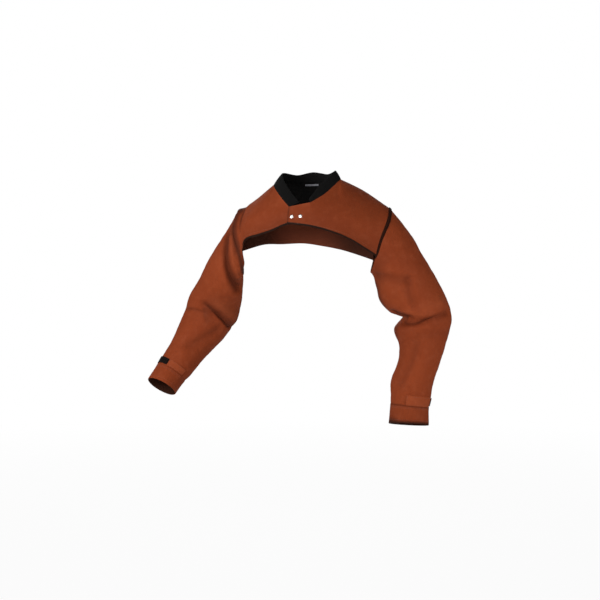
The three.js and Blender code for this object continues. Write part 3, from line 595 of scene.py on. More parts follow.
def sleeveForm(sleeve, make):
    rows = sleeve["rows"]
    outer, inner = (np.array([row[key] for row in rows], float) for key in ("outer", "inner"))
    middle = (outer + inner) / 2
    fronts = []
    for i, row in enumerate(rows):
        reach = unit(outer[i] - inner[i])
        if "faces" in row:
            ahead = np.array(directionFrom(row["faces"], row.get("lean", 0)))
        else:
            onward = middle[min(i + 1, len(rows) - 1)] - middle[max(i - 1, 0)]
            ahead = sleeve["side"] * np.cross(onward, reach)
        fronts.append(unit(ahead - ahead.dot(reach) * reach) * row["deep"])
    outerLine, innerLine, frontLine = lineThrough(outer), lineThrough(inner), lineThrough(fronts, even=True)

    def plain(section, turn):
        outside, inside = outerLine(section), innerLine(section)
        across = (outside - inside) / 2 * np.cos(turn)[..., None]
        return (outside + inside) / 2 + across + frontLine(section) * np.sin(turn)[..., None]
    foldTraces = []
    for fold in sleeve["folds"]:
        share = np.linspace(0, 1, make["foldPoints"])[:, None]
        places = np.array(fold["from"]) * (1 - share) + np.array(fold["to"]) * share
        foldTraces.append(plain(places[:, 0], np.radians(places[:, 1])))
    creaseTraces = []
    for crease in sleeve["creases"]:
        places = lineThrough(crease["along"])(np.linspace(0, len(crease["along"]) - 1, make["creasePoints"]))
        creaseTraces.append(plain(places[:, 0], np.radians(places[:, 1])))

    def folded(section, turn):  # the point, how deep it lies in a fold, and the painted shade that creases give it
        section, turn = np.broadcast_arrays(np.asarray(section, float), np.asarray(turn, float))
        turned = np.degrees(turn) % 360 / sleeve["bowEnd"]
        bow = sleeve["seamBow"] + sleeve["seamSway"] * np.sin(2 * np.pi * turned)
        bow = bow * np.where(turned < 1, np.sin(np.pi * turned) ** 2, 0)
        section = section + bow * np.clip(1 - section, 0, 1) ** 3
        point = plain(section, turn)
        away = unit(point - (outerLine(section) + innerLine(section)) / 2)
        sink = np.zeros(section.shape)
        for fold, trace in zip(sleeve["folds"], foldTraces):
            sink = sink + fold["deep"] * np.exp(-(distanceTo(point, trace) / fold["wide"]) ** 2)
        worn = np.zeros(section.shape)
        for crease, trace in zip(sleeve["creases"], creaseTraces):
            height, paintedShade = creaseShape(point, away, crease, trace)
            sink = sink - height
            worn = np.maximum(worn, paintedShade)
        return point - away * sink[..., None], sink, worn
    return folded


sleeves = {sleeve["node"]: {**sleeve, "form": sleeveForm(sleeve, sleeveMake)}
           for sleeve in (leftSleeve, rightSleeve)}


def armhole(node, degrees):  # 0 at the shoulder, 90 at the front, -90 at the back
    return sleeves[node]["form"](np.zeros(np.shape(degrees)), np.radians(degrees))[0]


seamPaths = {}  # rows of stitches: name of the group, then lines of points with their outward directions


def stitchLine(group, points, outward):
    seamPaths.setdefault(group, []).append((points, outward))


def makeSleeve(sleeve, make):
    sides, sign, lift = make["sides"], sleeve["side"], make["wall"] / 2
    turns = np.linspace(0, 2 * np.pi, sides, endpoint=False)
    sections = np.linspace(0, sleeve["cuffSeam"], make["rings"])
    grid, sink, worn = sleeve["form"](*np.meshgrid(sections, turns, indexing="ij"))
    normals = gridNormals(grid, sign, ring=True)
    grid = grid + normals * rollOver(runLength(grid, 0), sleeve["headRoll"], make["headReach"])[..., None]
    fromEnd = sleeve["cuffSeam"] - sections
    calm = smoothStep(sections, 0, make["headEase"]) * smoothStep(fromEnd, 0, make["cuffEase"])
    for lump in make["lumps"]:
        grid = roughen(grid, normals, lump["size"], lump["height"], sleeve["seed"], calm[:, None])
    normals = gridNormals(grid, sign, ring=True)
    fromHead, fromCuff = runLength(grid, 0), runLength(grid[::-1], 0)[::-1]
    # painted shade along the armhole seam, near-black right at it, and beside the cuff seam; depth adds
    # painted shade, and height makes the leather lighter as scuffing and painted highlight
    nearBlack = 0 * fromHead
    if sleeve["headRoll"]:
        worn = np.maximum(worn, np.exp(-(fromHead / make["seamShade"]) ** 2))
        nearBlack = make["seamDark"] * np.exp(-(fromHead / make["darkReach"]) ** 2)
    worn = np.maximum(worn, sleeve["cuff"]["seamShade"] * np.exp(-(fromCuff / make["cuffShade"]) ** 2))
    marks = {"crease": np.clip(worn + np.clip(sink / make["sinkShade"], 0, make["sinkMost"]), 0, 1),
             "ridge": np.clip(-sink / make["ridgeHeight"], 0, 1), "nearBlack": nearBlack}
    flat = flatPlaces(np.concatenate([grid, grid[:, :1]], axis=1))
    for half, first, last in (("front", 0, sides // 2), ("back", sides // 2, sides)):
        columns = np.arange(first, last + 1)
        around = columns % sides
        panel, out = grid[:, around].copy(), normals[:, around]
        for edge, inside in ((0, 1), (-1, -2)):
            panel[:, edge] += unit(panel[:, inside] - panel[:, edge]) * make["seamGap"]
        mesh = wallMesh(f"sleeve{half.title()}{sleeve['name']}", panel, out, lift, sign,
                        marks={key: values[:, around] for key, values in marks.items()},
                        flat=flat[:, columns])
        addPiece(mesh.name, mesh, leather, [f"sleeve_{half}_{sleeve['node']}"])
        if half == "back":
            for column in (make["stitchColumn"], -1 - make["stitchColumn"]):
                points = panel[:, column] + out[:, column] * lift
                stitchLine(f"stitchesSleeve{sleeve['name']}", points, out[:, column])


for sleeve in sleeves.values():
    makeSleeve(sleeve, sleeveMake)
print("sleeves ready")


# Cuffs, wrist straps and fastening tapes
# the share after seamWide makes the cuff's inner skin nearly black
cuffMake = {"wall": 2.4, "step": 0.8, "rows": 24, "start": 0.004, "seamWide": 3, "insideDark": 0.85,
            "lump": {"size": 26, "height": 0.7, "seed": 5}, "innerSide": (0.5, 1), "stitchRows": (2, 4, -5)}
strapMake = {"wall": 2, "gap": 0.7, "rows": 26, "columns": 70, "scuff": 0.7, "stitchIn": 2}
tapeMake = {"wall": 2, "gap": 0.7, "rows": 22, "columns": 50, "scuff": 0, "stitchIn": 0}  # no stitches show


def makeCuff(sleeve, make):
    turns = np.linspace(0, 2 * np.pi, sleeveMake["sides"], endpoint=False)
    sections = np.linspace(sleeve["cuffSeam"] + make["start"], sleeve["cuffSeam"] + 1, make["rows"])
    grid = sleeve["form"](*np.meshgrid(sections, turns, indexing="ij"))[0]
    normals = gridNormals(grid, sleeve["side"], ring=True)
    lump = make["lump"]
    grid = roughen(grid + normals * make["step"], normals, lump["size"], lump["height"],
                   sleeve["seed"] + lump["seed"])
    fromSeam, fromMouth = runLength(grid, 0), runLength(grid[::-1], 0)[::-1]
    look = sleeve["cuff"]
    # painted shade: the mouth turns near-black, reaching further up on the inner side, and the seam darkens;
    # the tone darkens the whole cuff
    inner = smoothStep(-np.cos(turns), *make["innerSide"])
    reach = look["edgeReach"] + (look["innerReach"] - look["edgeReach"]) * inner
    nearBlack = look["edgeShade"] * np.exp(-(fromMouth / reach) ** 2)
    crease = look["tone"] + look["seamShade"] * np.exp(-(fromSeam / make["seamWide"]) ** 2)
    mesh = wallMesh(f"cuff{sleeve['name']}", grid, normals, make["wall"] / 2, sleeve["side"], ring=True,
                    marks={"crease": crease, "ridge": 0, "nearBlack": nearBlack}, flat=flatPlaces(grid),
                    under={"nearBlack": make["insideDark"]})
    addPiece(mesh.name, mesh, leather, [f"cuff_{sleeve['node']}"])
    for row in make["stitchRows"]:
        closed, out = (np.concatenate([values[row], values[row, :1]]) for values in (grid, normals))
        stitchLine(f"stitchesSleeve{sleeve['name']}", closed + out * make["wall"] / 2, out)


def onceRound(grid, inset):  # along the four sides, some rows and columns in from the edge
    inner = grid[inset:-inset, inset:-inset]
    return np.concatenate([inner[0], inner[:, -1], inner[-1][::-1], inner[:, 0][::-1]])


def makeWristPatch(sleeve, piece, node, sections, turns, make, material):
    down = np.linspace(*sections, make["rows"])
    across = np.radians(np.linspace(*turns, make["columns"]))
    grid = sleeve["form"](*np.meshgrid(down, across, indexing="ij"))[0]
    normals = gridNormals(grid, sleeve["side"])
    lift = make["wall"] / 2
    grid = grid + normals * (sleeveMake["wall"] / 2 + make["gap"] + lift)
    mesh = wallMesh(piece + sleeve["name"], grid, normals, lift, sleeve["side"], flat=flatPlaces(grid),
                    marks={"crease": 0, "ridge": make["scuff"], "nearBlack": 0})
    addPiece(mesh.name, mesh, material, [f"{node}_{sleeve['node']}"])
    if make["stitchIn"]:
        rim, out = (onceRound(values, make["stitchIn"]) for values in (grid, normals))
        stitchLine(f"stitchesSleeve{sleeve['name']}", rim + out * lift, out)


for sleeve in sleeves.values():
    wrist = sleeve["wrist"]
    makeCuff(sleeve, cuffMake)
    makeWristPatch(sleeve, "wristStrap", "wrist_strap", wrist["strapAt"], wrist["strapTurns"], strapMake,
                   leather)
    makeWristPatch(sleeve, "strapTape", "strap_tape", wrist["tapeAt"], wrist["tapeTurns"], tapeMake,
                   cloths["fasteningTape"])
print("cuffs, straps and tapes ready")


# Yoke: two fronts and a back
necklineRows = [  # base is on the sewn line, and rise leads from it to the collar's upper edge
    {"at": "left end", "base": (44, -107, -26), "rise": (-7, 7, 9)},
    {"at": "left front", "base": (73, -75, -1), "rise": (-15, 6, 24)},
    {"at": "left side", "base": (98, -22, 40), "rise": (-15, 0, 22)},
    {"at": "left back", "base": (42, 41, 31), "rise": (-4, -5, 27)},
    {"at": "centre back", "base": (-8, 49, 28), "rise": (0, -5, 37)},
    {"at": "right back", "base": (-58, 35, 29), "rise": (9, -5, 28)},
    {"at": "right side", "base": (-97, -23, 31), "rise": (21, 2, 28)},
    {"at": "right front", "base": (-58, -78, -5), "rise": (25, 0, 18)},
    {"at": "right end", "base": (-21, -103.5, -37), "rise": (27, 5, 12)},
]
frontLeftRows = [  # a top that is a number is a place on the neckline
    {"at": "lapping edge", "hem": (-22, -113, -82), "body": (-21, -112, -63), "top": (-19, -110, -37)},
    {"at": "collar end", "hem": (43, -118, -90), "body": (43, -114, -60), "top": 0},
    {"at": "neck front", "hem": (102, -112, -105), "body": (90, -104, -55), "top": 1},
    {"at": "neck side", "hem": (154, -95, -127), "body": (135, -82, -46), "top": 2},
    {"at": "shoulder", "hem": (189, -72, -152), "body": (186, -60, -68), "top": (158, 3, 7.5)},
    {"at": "armhole", "armhole": "left", "hemTurn": 122},
]
frontRightRows = [
    {"at": "lapped edge", "hem": (34, -111, -85), "body": (33, -107.5, -70), "top": (32, -101.5, -48)},
    {"at": "collar end", "hem": (-22, -106.7, -84), "body": (-22, -105.7, -64), "top": 8},
    {"at": "neck front", "hem": (-70, -106, -101), "body": (-66, -98, -58), "top": 7},
    {"at": "neck side", "hem": (-115, -92, -113), "body": (-112, -80, -48), "top": 6},
    {"at": "shoulder", "hem": (-174, -63, -130), "body": (-172, -60, -78), "top": (-160, 3, -7)},
    {"at": "armhole", "armhole": "right", "hemTurn": 176},
]
backRows = [
    {"at": "right armhole", "armhole": "right", "hemTurn": -100},
    {"at": "right shoulder", "hem": (-180, 95, -136), "body": (-178, 75, -62), "top": (-160, 3, -7)},
    {"at": "right neck side", "hem": (-130, 106, -135), "body": (-122, 80, -40), "top": 6},
    {"at": "right neck", "hem": (-64, 114, -133), "body": (-62, 93, -45), "top": 5},
    {"at": "centre", "hem": (-6, 117, -141), "body": (-7, 99, -48), "top": 4},
    {"at": "left neck", "hem": (54, 110, -152), "body": (48, 95, -46), "top": 3},
    {"at": "left neck side", "hem": (118, 93, -169), "body": (112, 80, -42), "top": 2},
    {"at": "left shoulder", "hem": (160, 78, -181), "body": (168, 75, -55), "top": (158, 3, 7.5)},
    {"at": "left armhole", "armhole": "left", "hemTurn": -125},
]
panelMake = {
    "wall": 2, "columnsPerRow": 32, "backColumnsPerRow": 28, "levels": 72, "backLevels": 84, "seamGap": 0.2,
    "lumps": [{"size": 70, "height": 1.3, "seed": 0}, {"size": 22, "height": 0.5, "seed": 2}],
    "calmEdge": 26,  # the lumps fade out this far from an edge
    # painted shade at the hem reaches hemReach up; a near-black band runs along the front hems, and painted
    # shadow along the lapping edge
    "hemDepth": 11, "hemExtra": 0.6, "hemStep": 1.5, "hemReach": 34,
    "hemBandWidth": 4.5, "hemBandFade": (-1, 0.5), "lapShade": 5,
    "stitchIn": 2, "stitchRow": -3,  # millimetres in from the hem's fold, and the row below the shoulder seam
    "armholeRoll": {
        "height": 7, "reach": 9, "levels": (0.1, 0.5), "topEase": 0.25, "easeFrom": 0.75,
        "groove": 2.3, "grooveAt": 33, "grooveWide": 7, "grooveShade": 0.95, "grooveFrom": (0.45, 0.75),
        "cap": (0.79, 0.88), "capReach": (24, 34), "capDark": 0.2,
        "hemBandFrom": (88, 108),  # the hem is bare where it runs down to the underarm
        # near-black painted shade right at the armhole seam
        "seamDark": 0.42, "darkReach": 8,
    },
    "hemScuff": {"most": 0.1, "at": 7, "wide": 3},
    "topScuff": {"most": 0.4, "at": 0, "wide": 4},
    "seamShade": {"end": (11, 27), "start": (3, 9)},
    "insideShade": {"most": 0.78, "middle": 3.3, "sides": (0.4, 2.5)},  # painted shade on the inner skin, darker to both sides of the neck
}
underarmTip = {"at": 4.7, "wide": 0.16, "push": (4.5, 2, 0)}  # the right hem swings out towards the underarm
# Rows from the lap, or from the centre back, over which a panel starts to bend across the shoulder
overShoulder = {"front": (2.6, 3.4), "back": (1.6, 2.4)}
frontEnd, backEnd, neckEnd = (len(rows) - 1 for rows in (frontLeftRows, backRows, necklineRows))
leftShift = backEnd - frontEnd  # a row of the left front lies across from the back's row this much further on
neckline = lineThrough([row["base"] for row in necklineRows])


def panelLines(rows, shoulders, tip=None):  # shoulders are the first and last row of each shoulder seam
    def points(key, share):
        return [armhole(row["armhole"], row["hemTurn"] * share) if "armhole" in row
                else np.array(row[key], float) for row in rows]
    tops = [row.get("top") for row in rows]
    upper = np.array([neckline(top) if isinstance(top, int) else point
                      for top, point in zip(tops, points("top", 0))])

    def upperEdge(u):
        edge = np.empty((len(u), 3))
        for k, x in enumerate(u):
            i = min(int(x), len(rows) - 2)
            span = next((seam for seam in shoulders if seam[0] <= x <= seam[1]), None)
            if isinstance(tops[i], int) and isinstance(tops[i + 1], int):
                edge[k] = neckline(tops[i] + (tops[i + 1] - tops[i]) * (x - i))
            elif span:
                edge[k] = lineThrough(upper[span[0]:span[1] + 1])(x - span[0])
            else:
                edge[k] = upper[i] + (upper[i + 1] - upper[i]) * (x - i)
        return edge
    plainHem = lineThrough(points("hem", 1))

    def tippedHem(u):
        share = np.exp(-((u - tip["at"]) / tip["wide"]) ** 2)
        return plainHem(u) + share[..., None] * np.array(tip["push"])
    return {"hem": tippedHem if tip else plainHem, "body": lineThrough(points("body", 0.5)),
            "upper": upperEdge, "rows": rows}


frontLines = {"left": panelLines(frontLeftRows, [(3, 5)]),
              "right": panelLines(frontRightRows, [(3, 5)], underarmTip)}
backLines = panelLines(backRows, [(0, 2), (6, 8)])


def upSection(hem, body, upper, over, share, v):
    beyond = (2 * upper - body) * (1 - share[:, None]) + over * share[:, None]
    low = stretch(2 * hem - body, hem, body, upper, 2 * v[:, None] + 0 * share)
    high = stretch(hem, body, upper, beyond, 2 * v[:, None] - 1 + 0 * share)
    return np.where((v < 0.5)[:, None, None], low, high)


def ontoArmhole(grid, plain, u, v, edge, row):
    near = smoothStep(1 - np.abs(u - edge), 0, 1)
    miss = armhole(row["armhole"], row["hemTurn"] * (1 - v)) - plain(np.array([float(edge)]), v)[:, 0]
    return grid + near[None, :, None] * miss[:, None, :]


def frontGrid(node, u, v):
    lines = frontLines[node]

    def plain(u, v):
        share = smoothStep(u, *overShoulder["front"])
        over = backLines["body"](u + leftShift if node == "left" else frontEnd - u)
        return upSection(lines["hem"](u), lines["body"](u), lines["upper"](u), over, share, v)
    return ontoArmhole(plain(u, v), plain, u, v, frontEnd, lines["rows"][frontEnd])


def backGrid(u, v):
    centre = backEnd / 2

    def plain(u, v):
        share = smoothStep(np.abs(u - centre), *overShoulder["back"])
        left = frontLines["left"]["body"](np.clip(u - leftShift, 0, frontEnd))
        right = frontLines["right"]["body"](np.clip(frontEnd - u, 0, frontEnd))
        over = np.where((u > centre)[:, None], left, right)
        return upSection(backLines["hem"](u), backLines["body"](u), backLines["upper"](u), over, share, v)
    grid = plain(u, v)
    for edge in (0, backEnd):
        grid = ontoArmhole(grid, plain, u, v, edge, backRows[edge])
    return grid


frontColumns, backColumns = panelMake["columnsPerRow"], panelMake["backColumnsPerRow"]
frontPlaces = (np.linspace(0, frontEnd, frontEnd * frontColumns + 1), np.linspace(0, 1, panelMake["levels"]))
backPlaces = (np.linspace(0, backEnd, backEnd * backColumns + 1), np.linspace(0, 1, panelMake["backLevels"]))
shoulderSeam = slice(3 * frontColumns + 4, frontEnd * frontColumns)
yokePanels = [  # sign turns the faces outwards; tone, hemShade and lap darken the panel, its hem and its edge as painted shade
    {"piece": "yokeFrontLeft", "node": "front_left", "grid": frontGrid("left", *frontPlaces), "sign": 1,
     "seed": 12.7, "hemBand": 1, "tone": 0.09, "hemShade": 0.2, "lap": 0.9, "rollEdge": None,
     "shoulderSeam": shoulderSeam},
    {"piece": "yokeFrontRight", "node": "front_right", "grid": frontGrid("right", *frontPlaces), "sign": -1,
     "seed": 17.3, "hemBand": 1, "tone": 0, "hemShade": 0.34, "lap": 0, "rollEdge": "end",
     "shoulderSeam": shoulderSeam},
    {"piece": "yokeBack", "node": "back", "grid": backGrid(*backPlaces), "sign": -1,
     "seed": 23.9, "hemBand": 0, "tone": 0, "hemShade": 0.2, "lap": 0, "rollEdge": "start",
     "shoulderSeam": None},
]


def makePanel(panel, make):
    grid, sign, rollEdge = panel["grid"], panel["sign"], panel["rollEdge"]
    normals = gridNormals(grid, sign)
    fromHem, fromTop = runLength(grid, 0), runLength(grid[::-1], 0)[::-1]
    fromStart, fromEnd = runLength(grid, 1), runLength(grid[:, ::-1], 1)[:, ::-1]
    calm = smoothStep(np.min([fromHem, fromTop, fromStart, fromEnd], axis=0), 0, make["calmEdge"])
    for lump in make["lumps"]:
        grid = roughen(grid, normals, lump["size"], lump["height"], panel["seed"] + lump["seed"], calm)
    normals = gridNormals(grid, sign)
    # painted shade: a shadow along the lapping edge, a darker tone, and darkening towards the hem
    crease = np.maximum(panel["lap"] * np.exp(-(fromStart / make["lapShade"]) ** 2),
                        panel["tone"] + panel["hemShade"] * np.exp(-(fromHem / make["hemReach"]) ** 2))
    # a near-black band along the hem
    hemBandFrom, hemBandTo = (make["hemBandWidth"] + way for way in make["hemBandFade"])
    nearBlack = panel["hemBand"] * (1 - smoothStep(fromHem, hemBandFrom, hemBandTo))
    if rollEdge:
        roll = make["armholeRoll"]
        fromSeam = fromEnd if rollEdge == "end" else fromStart
        level = np.linspace(0, 1, len(grid))[:, None]
        groove = np.exp(-((fromSeam - roll["grooveAt"]) / roll["grooveWide"]) ** 2)
        raised = rollOver(fromSeam, roll["height"], roll["reach"]) - roll["groove"] * groove
        raised = raised * smoothStep(level, *roll["levels"])
        raised = raised * (1 - roll["topEase"] * smoothStep(level, roll["easeFrom"], 1))
        grid = grid + normals * raised[..., None]
        normals = gridNormals(grid, sign)
        # painted shade along the armhole seam and in the groove beside the roll, near-black right at the
        # seam; the roll's top by the seam is darkened too
        cap = smoothStep(level, *roll["cap"]) * (1 - smoothStep(fromSeam, *roll["capReach"]))
        crease = np.max([crease, 1 - smoothStep(fromSeam, *make["seamShade"][rollEdge]), cap,
                         roll["grooveShade"] * groove * smoothStep(level, *roll["grooveFrom"])], axis=0)
        nearBlack = np.max([nearBlack * smoothStep(fromSeam[0], *roll["hemBandFrom"]), roll["capDark"] * cap,
                        roll["seamDark"] * np.exp(-(fromSeam / roll["darkReach"]) ** 2)], axis=0)
    grid[-1] += unit(grid[-2] - grid[-1]) * make["seamGap"]
    turned = 1 - smoothStep(fromHem, make["hemDepth"] - make["hemStep"], make["hemDepth"])
    half = make["wall"] / 2 + make["hemExtra"] / 2 * turned
    ridge = sum(scuff["most"] * np.exp(-((away - scuff["at"]) / scuff["wide"]) ** 2)
                for scuff, away in ((make["hemScuff"], fromHem), (make["topScuff"], fromTop)))
    # painted shade on the inner skin, darker to both sides of the neck
    inside = make["insideShade"]
    along = np.linspace(0, backEnd, grid.shape[1])
    insideDark = inside["most"] * smoothStep(np.abs(along - inside["middle"]), *inside["sides"])
    mesh = wallMesh(panel["piece"], grid, normals, half, sign, flat=flatPlaces(grid),
                    marks={"crease": crease, "ridge": ridge, "nearBlack": nearBlack},
                    under={"crease": 0, "ridge": 0, "nearBlack": insideDark})
    addPiece(panel["piece"], mesh, leather, [panel["node"]])
    toFold = fromHem[:, grid.shape[1] // 2] - make["hemDepth"] + make["stitchIn"]
    sewn = [(int(np.argmin(np.abs(toFold))), slice(None))]
    if panel["shoulderSeam"]:
        sewn.append((make["stitchRow"], panel["shoulderSeam"]))
    for place in sewn:
        stitchLine("stitchesYoke", grid[place] + normals[place] * half[place][:, None], normals[place])


for panel in yokePanels:
    makePanel(panel, panelMake)
print("yoke ready")


# Armhole bindings
bindingMake = {"steps": 200, "sides": 14, "ahead": 0.1,
               "slim": 0.2, "slimFrom": (-0.68, -0.4),  # share under the arm, and cosines of the turn there
               "clothStep": (1.4, 2.3)}  # millimetres of cloth from one side, or step, to the next
bindingSizes = {"left": {"halfWidth": 5.4, "halfHeight": 2.4, "lift": 0.6},
                "right": {"halfWidth": 2.4, "halfHeight": 2.2, "lift": -0.7}}  # sunk between rolls of leather


def makeBinding(sleeve, make):
    degrees = np.linspace(0, 360, make["steps"], endpoint=False)
    line = armhole(sleeve["node"], degrees)
    along = unit(np.roll(line, -1, 0) - np.roll(line, 1, 0))
    down = unit(sleeve["form"](np.full(len(degrees), make["ahead"]), np.radians(degrees))[0] - line)
    out = unit(np.cross(along, down))
    out = np.where(((line - line.mean(0)) * out).sum(-1, keepdims=True) < 0, -out, out)
    across = unit(np.cross(out, along))
    turns = np.linspace(0, 2 * np.pi, make["sides"], endpoint=False)
    over = smoothStep(np.cos(np.radians(degrees)), *make["slimFrom"])  # 0 under the arm
    slim = (make["slim"] + (1 - make["slim"]) * over)[:, None, None]
    high = (make["lift"] + make["halfHeight"] * np.sin(turns))[None, :, None]
    wide = (make["halfWidth"] * np.cos(turns))[None, :, None]
    ring = line[:, None] + slim * out[:, None] * high + slim * across[:, None] * wide
    index = np.arange(ring.shape[0] * ring.shape[1]).reshape(ring.shape[:2])
    mesh = bpy.data.meshes.new(f"armholeBinding{sleeve['name']}")
    faces = quadsOf(np.vstack([index, index[:1]]), True)
    mesh.from_pydata((ring.reshape(-1, 3) * mm).tolist(), [], faces.tolist())
    places = np.meshgrid(np.arange(make["sides"]), np.arange(make["steps"]))
    setCut(mesh, np.stack(places, -1).reshape(-1, 2) * make["clothStep"])
    mesh.shade_smooth()
    addPiece(mesh.name, mesh, cloths["bindingCloth"], [f"armhole_binding_{sleeve['node']}"])


for sleeve in sleeves.values():
    makeBinding(sleeve, {**bindingMake, **bindingSizes[sleeve["node"]]})
print("armhole bindings ready")


# Collar, neck facing and label
collarMake = {"wall": 3, "gap": 1, "bow": 1, "columns": 260, "rows": 22,
              "lump": {"size": 30, "height": 0.8, "seed": 31.4}}
facingMake = {"wall": 1.2, "lift": 2.65, "from": 2, "to": 6, "columns": 120, "levels": (0.5, 0.985),
              "rows": 40, "turnUp": (0.1, 0.22), "turnUpRows": 5}  # it turns up inside the collar
labelMake = {"wall": 0.8, "lift": 3.8, "from": 3.68, "to": 4.46, "columns": 40, "levels": (-0.02, 0.11),
             "rows": 12}
rise = lineThrough([row["rise"] for row in necklineRows], even=True)


def collarGrid(t, share, make):
    up = rise(t)
    start = (make["gap"] / np.linalg.norm(up, axis=-1))[None, :, None]
    grid = neckline(t)[None] + up[None] * (start + (1 - start) * share[:, None, None])
    normals = gridNormals(grid, 1)
    return grid + normals * (make["bow"] * 4 * share * (1 - share))[:, None, None], normals


def makeCollar(make):
    along, share = np.linspace(0, neckEnd, make["columns"]), np.linspace(0, 1, make["rows"])
    grid, normals = collarGrid(along, share, make)
    lump = make["lump"]
    grid = roughen(grid, normals, lump["size"], lump["height"], lump["seed"])
    mesh = wallMesh("standCollar", grid, gridNormals(grid, 1), make["wall"] / 2, 1, flat=flatPlaces(grid))
    addPiece("standCollar", mesh, cloths["blackCloth"], ["collar"])


def makeFacing(make):
    u = np.linspace(make["from"], make["to"], make["columns"])
    grid = backGrid(u, np.linspace(*make["levels"], make["rows"]))
    grid = grid - gridNormals(grid, -1) * make["lift"]
    share = np.linspace(*make["turnUp"], make["turnUpRows"])
    upper, outward = collarGrid(neckEnd - u[::-1], share, collarMake)
    grid = np.vstack([grid, (upper - outward * make["lift"])[:, ::-1]])
    mesh = wallMesh("neckFacing", grid, gridNormals(grid, -1), make["wall"] / 2, -1, flat=flatPlaces(grid))
    addPiece("neckFacing", mesh, cloths["blackCloth"], ["neck_facing"])


def makeLabel(make):
    along = np.linspace(make["from"], make["to"], make["columns"])
    grid, normals = collarGrid(along, np.linspace(*make["levels"], make["rows"]), collarMake)
    grid = grid - normals * make["lift"]
    mesh = wallMesh("neckLabel", grid, normals, make["wall"] / 2, 1, flat=flatPlaces(grid))
    addPiece("neckLabel", mesh, cloths["labelCloth"], ["neck_label"])


makeCollar(collarMake)
makeFacing(facingMake)
makeLabel(labelMake)
print("collar ready")


# Press studs
studMake = {
    "radius": 5.2, "height": 2.6, "foot": 1.0, "post": 1.8, "sides": 40,
    "rivet": [(0.2, -8), (4.2, -8), (4.6, -7.6), (4.6, -7), (1.8, -6.6)],  # radius and depth at the back
    # shares of the cap's radius and height, from its foot over the rolled rim to the dome
    "cap": [(0.98, 0), (1, 0.16), (1, 0.34), (0.93, 0.56), (0.82, 0.68), (0.74, 0.66), (0.66, 0.72),
            (0.45, 0.92), (0.2, 1)],
    "middle": 0.2,
    "probe": 0.02,  # how far apart the front is read to find which way it faces
}
studPlaces = [{"piece": "snapInner", "node": "snap_inner", "u": 0.6, "v": 0.47},
              {"piece": "snapOuter", "node": "snap_outer", "u": 0.2, "v": 0.47}]


def makeStud(place, make):
    u, v = (np.array([place[key], place[key] + make["probe"]]) for key in ("u", "v"))
    corner = frontGrid("left", u, v)
    seat = corner[0, 0]
    axis = unit(np.cross(corner[0, 1] - seat, corner[1, 0] - seat))
    side = unit(np.cross(axis, (0, 0, 1.0)))
    other = np.cross(axis, side)
    foot, height = make["foot"], make["height"]
    cap = [(make["radius"] * wide, foot + height * high) for wide, high in make["cap"]]
    profile = [*make["rivet"], (make["post"], foot), *cap, (make["middle"], foot + height)]
    turns = np.linspace(0, 2 * np.pi, make["sides"], endpoint=False)
    points = [seat + axis * z + radius * (side * math.cos(turn) + other * math.sin(turn))
              for radius, z in profile for turn in turns]
    index = np.arange(len(points)).reshape(len(profile), make["sides"])
    faces = quadsOf(index, True).tolist() + [index[0][::-1].tolist(), index[-1].tolist()]
    mesh = bpy.data.meshes.new(place["piece"])
    mesh.from_pydata((np.array(points) * mm).tolist(), [], faces)
    mesh.shade_smooth()
    addPiece(place["piece"], mesh, nickel, [place["node"]])


for place in studPlaces:
    makeStud(place, studMake)
print("press studs ready")


# Stitches along the sewn lines
stitchMake = {"Pitch": 3.6 * mm, "Stitch length": 2.7 * mm, "Thread width": 0.75 * mm,
              "Thread height": 0.5 * mm}


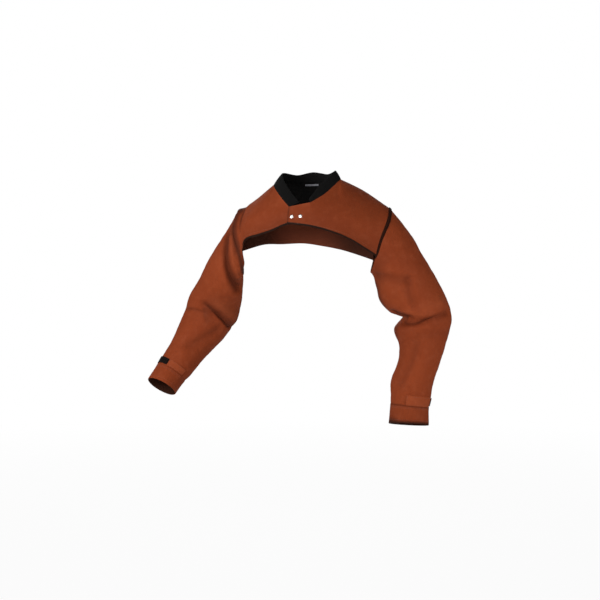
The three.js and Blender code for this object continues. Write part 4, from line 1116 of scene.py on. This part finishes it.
def stitchTree(make):
    tree = bpy.data.node_groups.new("stitchRow", "GeometryNodeTree")
    sockets = tree.interface
    sockets.new_socket("Geometry", in_out="INPUT", socket_type="NodeSocketGeometry")
    for name, value in make.items():
        sockets.new_socket(name, in_out="INPUT", socket_type="NodeSocketFloat").default_value = value
    sockets.new_socket("Thread", in_out="INPUT", socket_type="NodeSocketMaterial")
    sockets.new_socket("Geometry", in_out="OUTPUT", socket_type="NodeSocketGeometry")
    given = addNode(tree, "NodeGroupInput").outputs
    curve = addNode(tree, "GeometryNodeMeshToCurve", inputs={"Mesh": given["Geometry"]})
    spaced = addNode(tree, "GeometryNodeResampleCurve", {"mode": "LENGTH"}, {
        "Curve": curve.outputs[0], "Length": given["Pitch"]})
    outward = addNode(tree, "GeometryNodeInputNamedAttribute", {"data_type": "FLOAT_VECTOR"}, {
        "Name": "outward"})
    tangent = addNode(tree, "GeometryNodeInputTangent")
    along = addNode(tree, "FunctionNodeAlignRotationToVector", {"axis": "X"}, {"Vector": tangent.outputs[0]})
    upright = addNode(tree, "FunctionNodeAlignRotationToVector", {"axis": "Z", "pivot_axis": "X"}, {
        "Rotation": along.outputs[0], "Vector": outward.outputs[0]})
    size = addNode(tree, "ShaderNodeCombineXYZ", inputs={
        "X": given["Stitch length"], "Y": given["Thread width"], "Z": given["Thread height"]})
    bead = addNode(tree, "GeometryNodeMeshIcoSphere", inputs={"Radius": 0.5, "Subdivisions": 1})
    rows = addNode(tree, "GeometryNodeInstanceOnPoints", inputs={
        "Points": spaced.outputs[0], "Instance": bead.outputs[0], "Rotation": upright.outputs[0],
        "Scale": size.outputs[0]})
    real = addNode(tree, "GeometryNodeRealizeInstances", inputs={"Geometry": rows.outputs[0]})
    painted = addNode(tree, "GeometryNodeSetMaterial", inputs={
        "Geometry": real.outputs[0], "Material": given["Thread"]})
    addNode(tree, "NodeGroupOutput", inputs={"Geometry": painted.outputs[0]})
    return tree


def makeStitches(group, lines, tree):
    points, outward = (np.vstack([line[part] for line in lines]) for part in (0, 1))
    starts = np.cumsum([0] + [len(line[0]) for line in lines])
    edges = [(i, i + 1) for first, last in zip(starts[:-1], starts[1:]) for i in range(first, last - 1)]
    mesh = bpy.data.meshes.new(group)
    mesh.from_pydata((points * mm).tolist(), edges, [])
    facing = mesh.attributes.new("outward", "FLOAT_VECTOR", "POINT")
    facing.data.foreach_set("vector", outward.astype(np.float32).ravel())
    guide = link(bpy.data.objects.new(group + "Guide", mesh))
    rows = guide.modifiers.new("stitchRow", "NODES")
    rows.node_group = tree
    for socket in tree.interface.items_tree:
        if socket.in_out == "INPUT" and socket.name == "Thread":
            rows[socket.identifier] = thread
    made = bpy.data.meshes.new_from_object(guide.evaluated_get(bpy.context.evaluated_depsgraph_get()))
    bpy.data.objects.remove(guide)
    made.name = group
    made.shade_smooth()
    addPiece(group, made, thread)


stitchRow = stitchTree(stitchMake)
for group, lines in seamPaths.items():
    makeStitches(group, lines, stitchRow)
print("stitches ready")
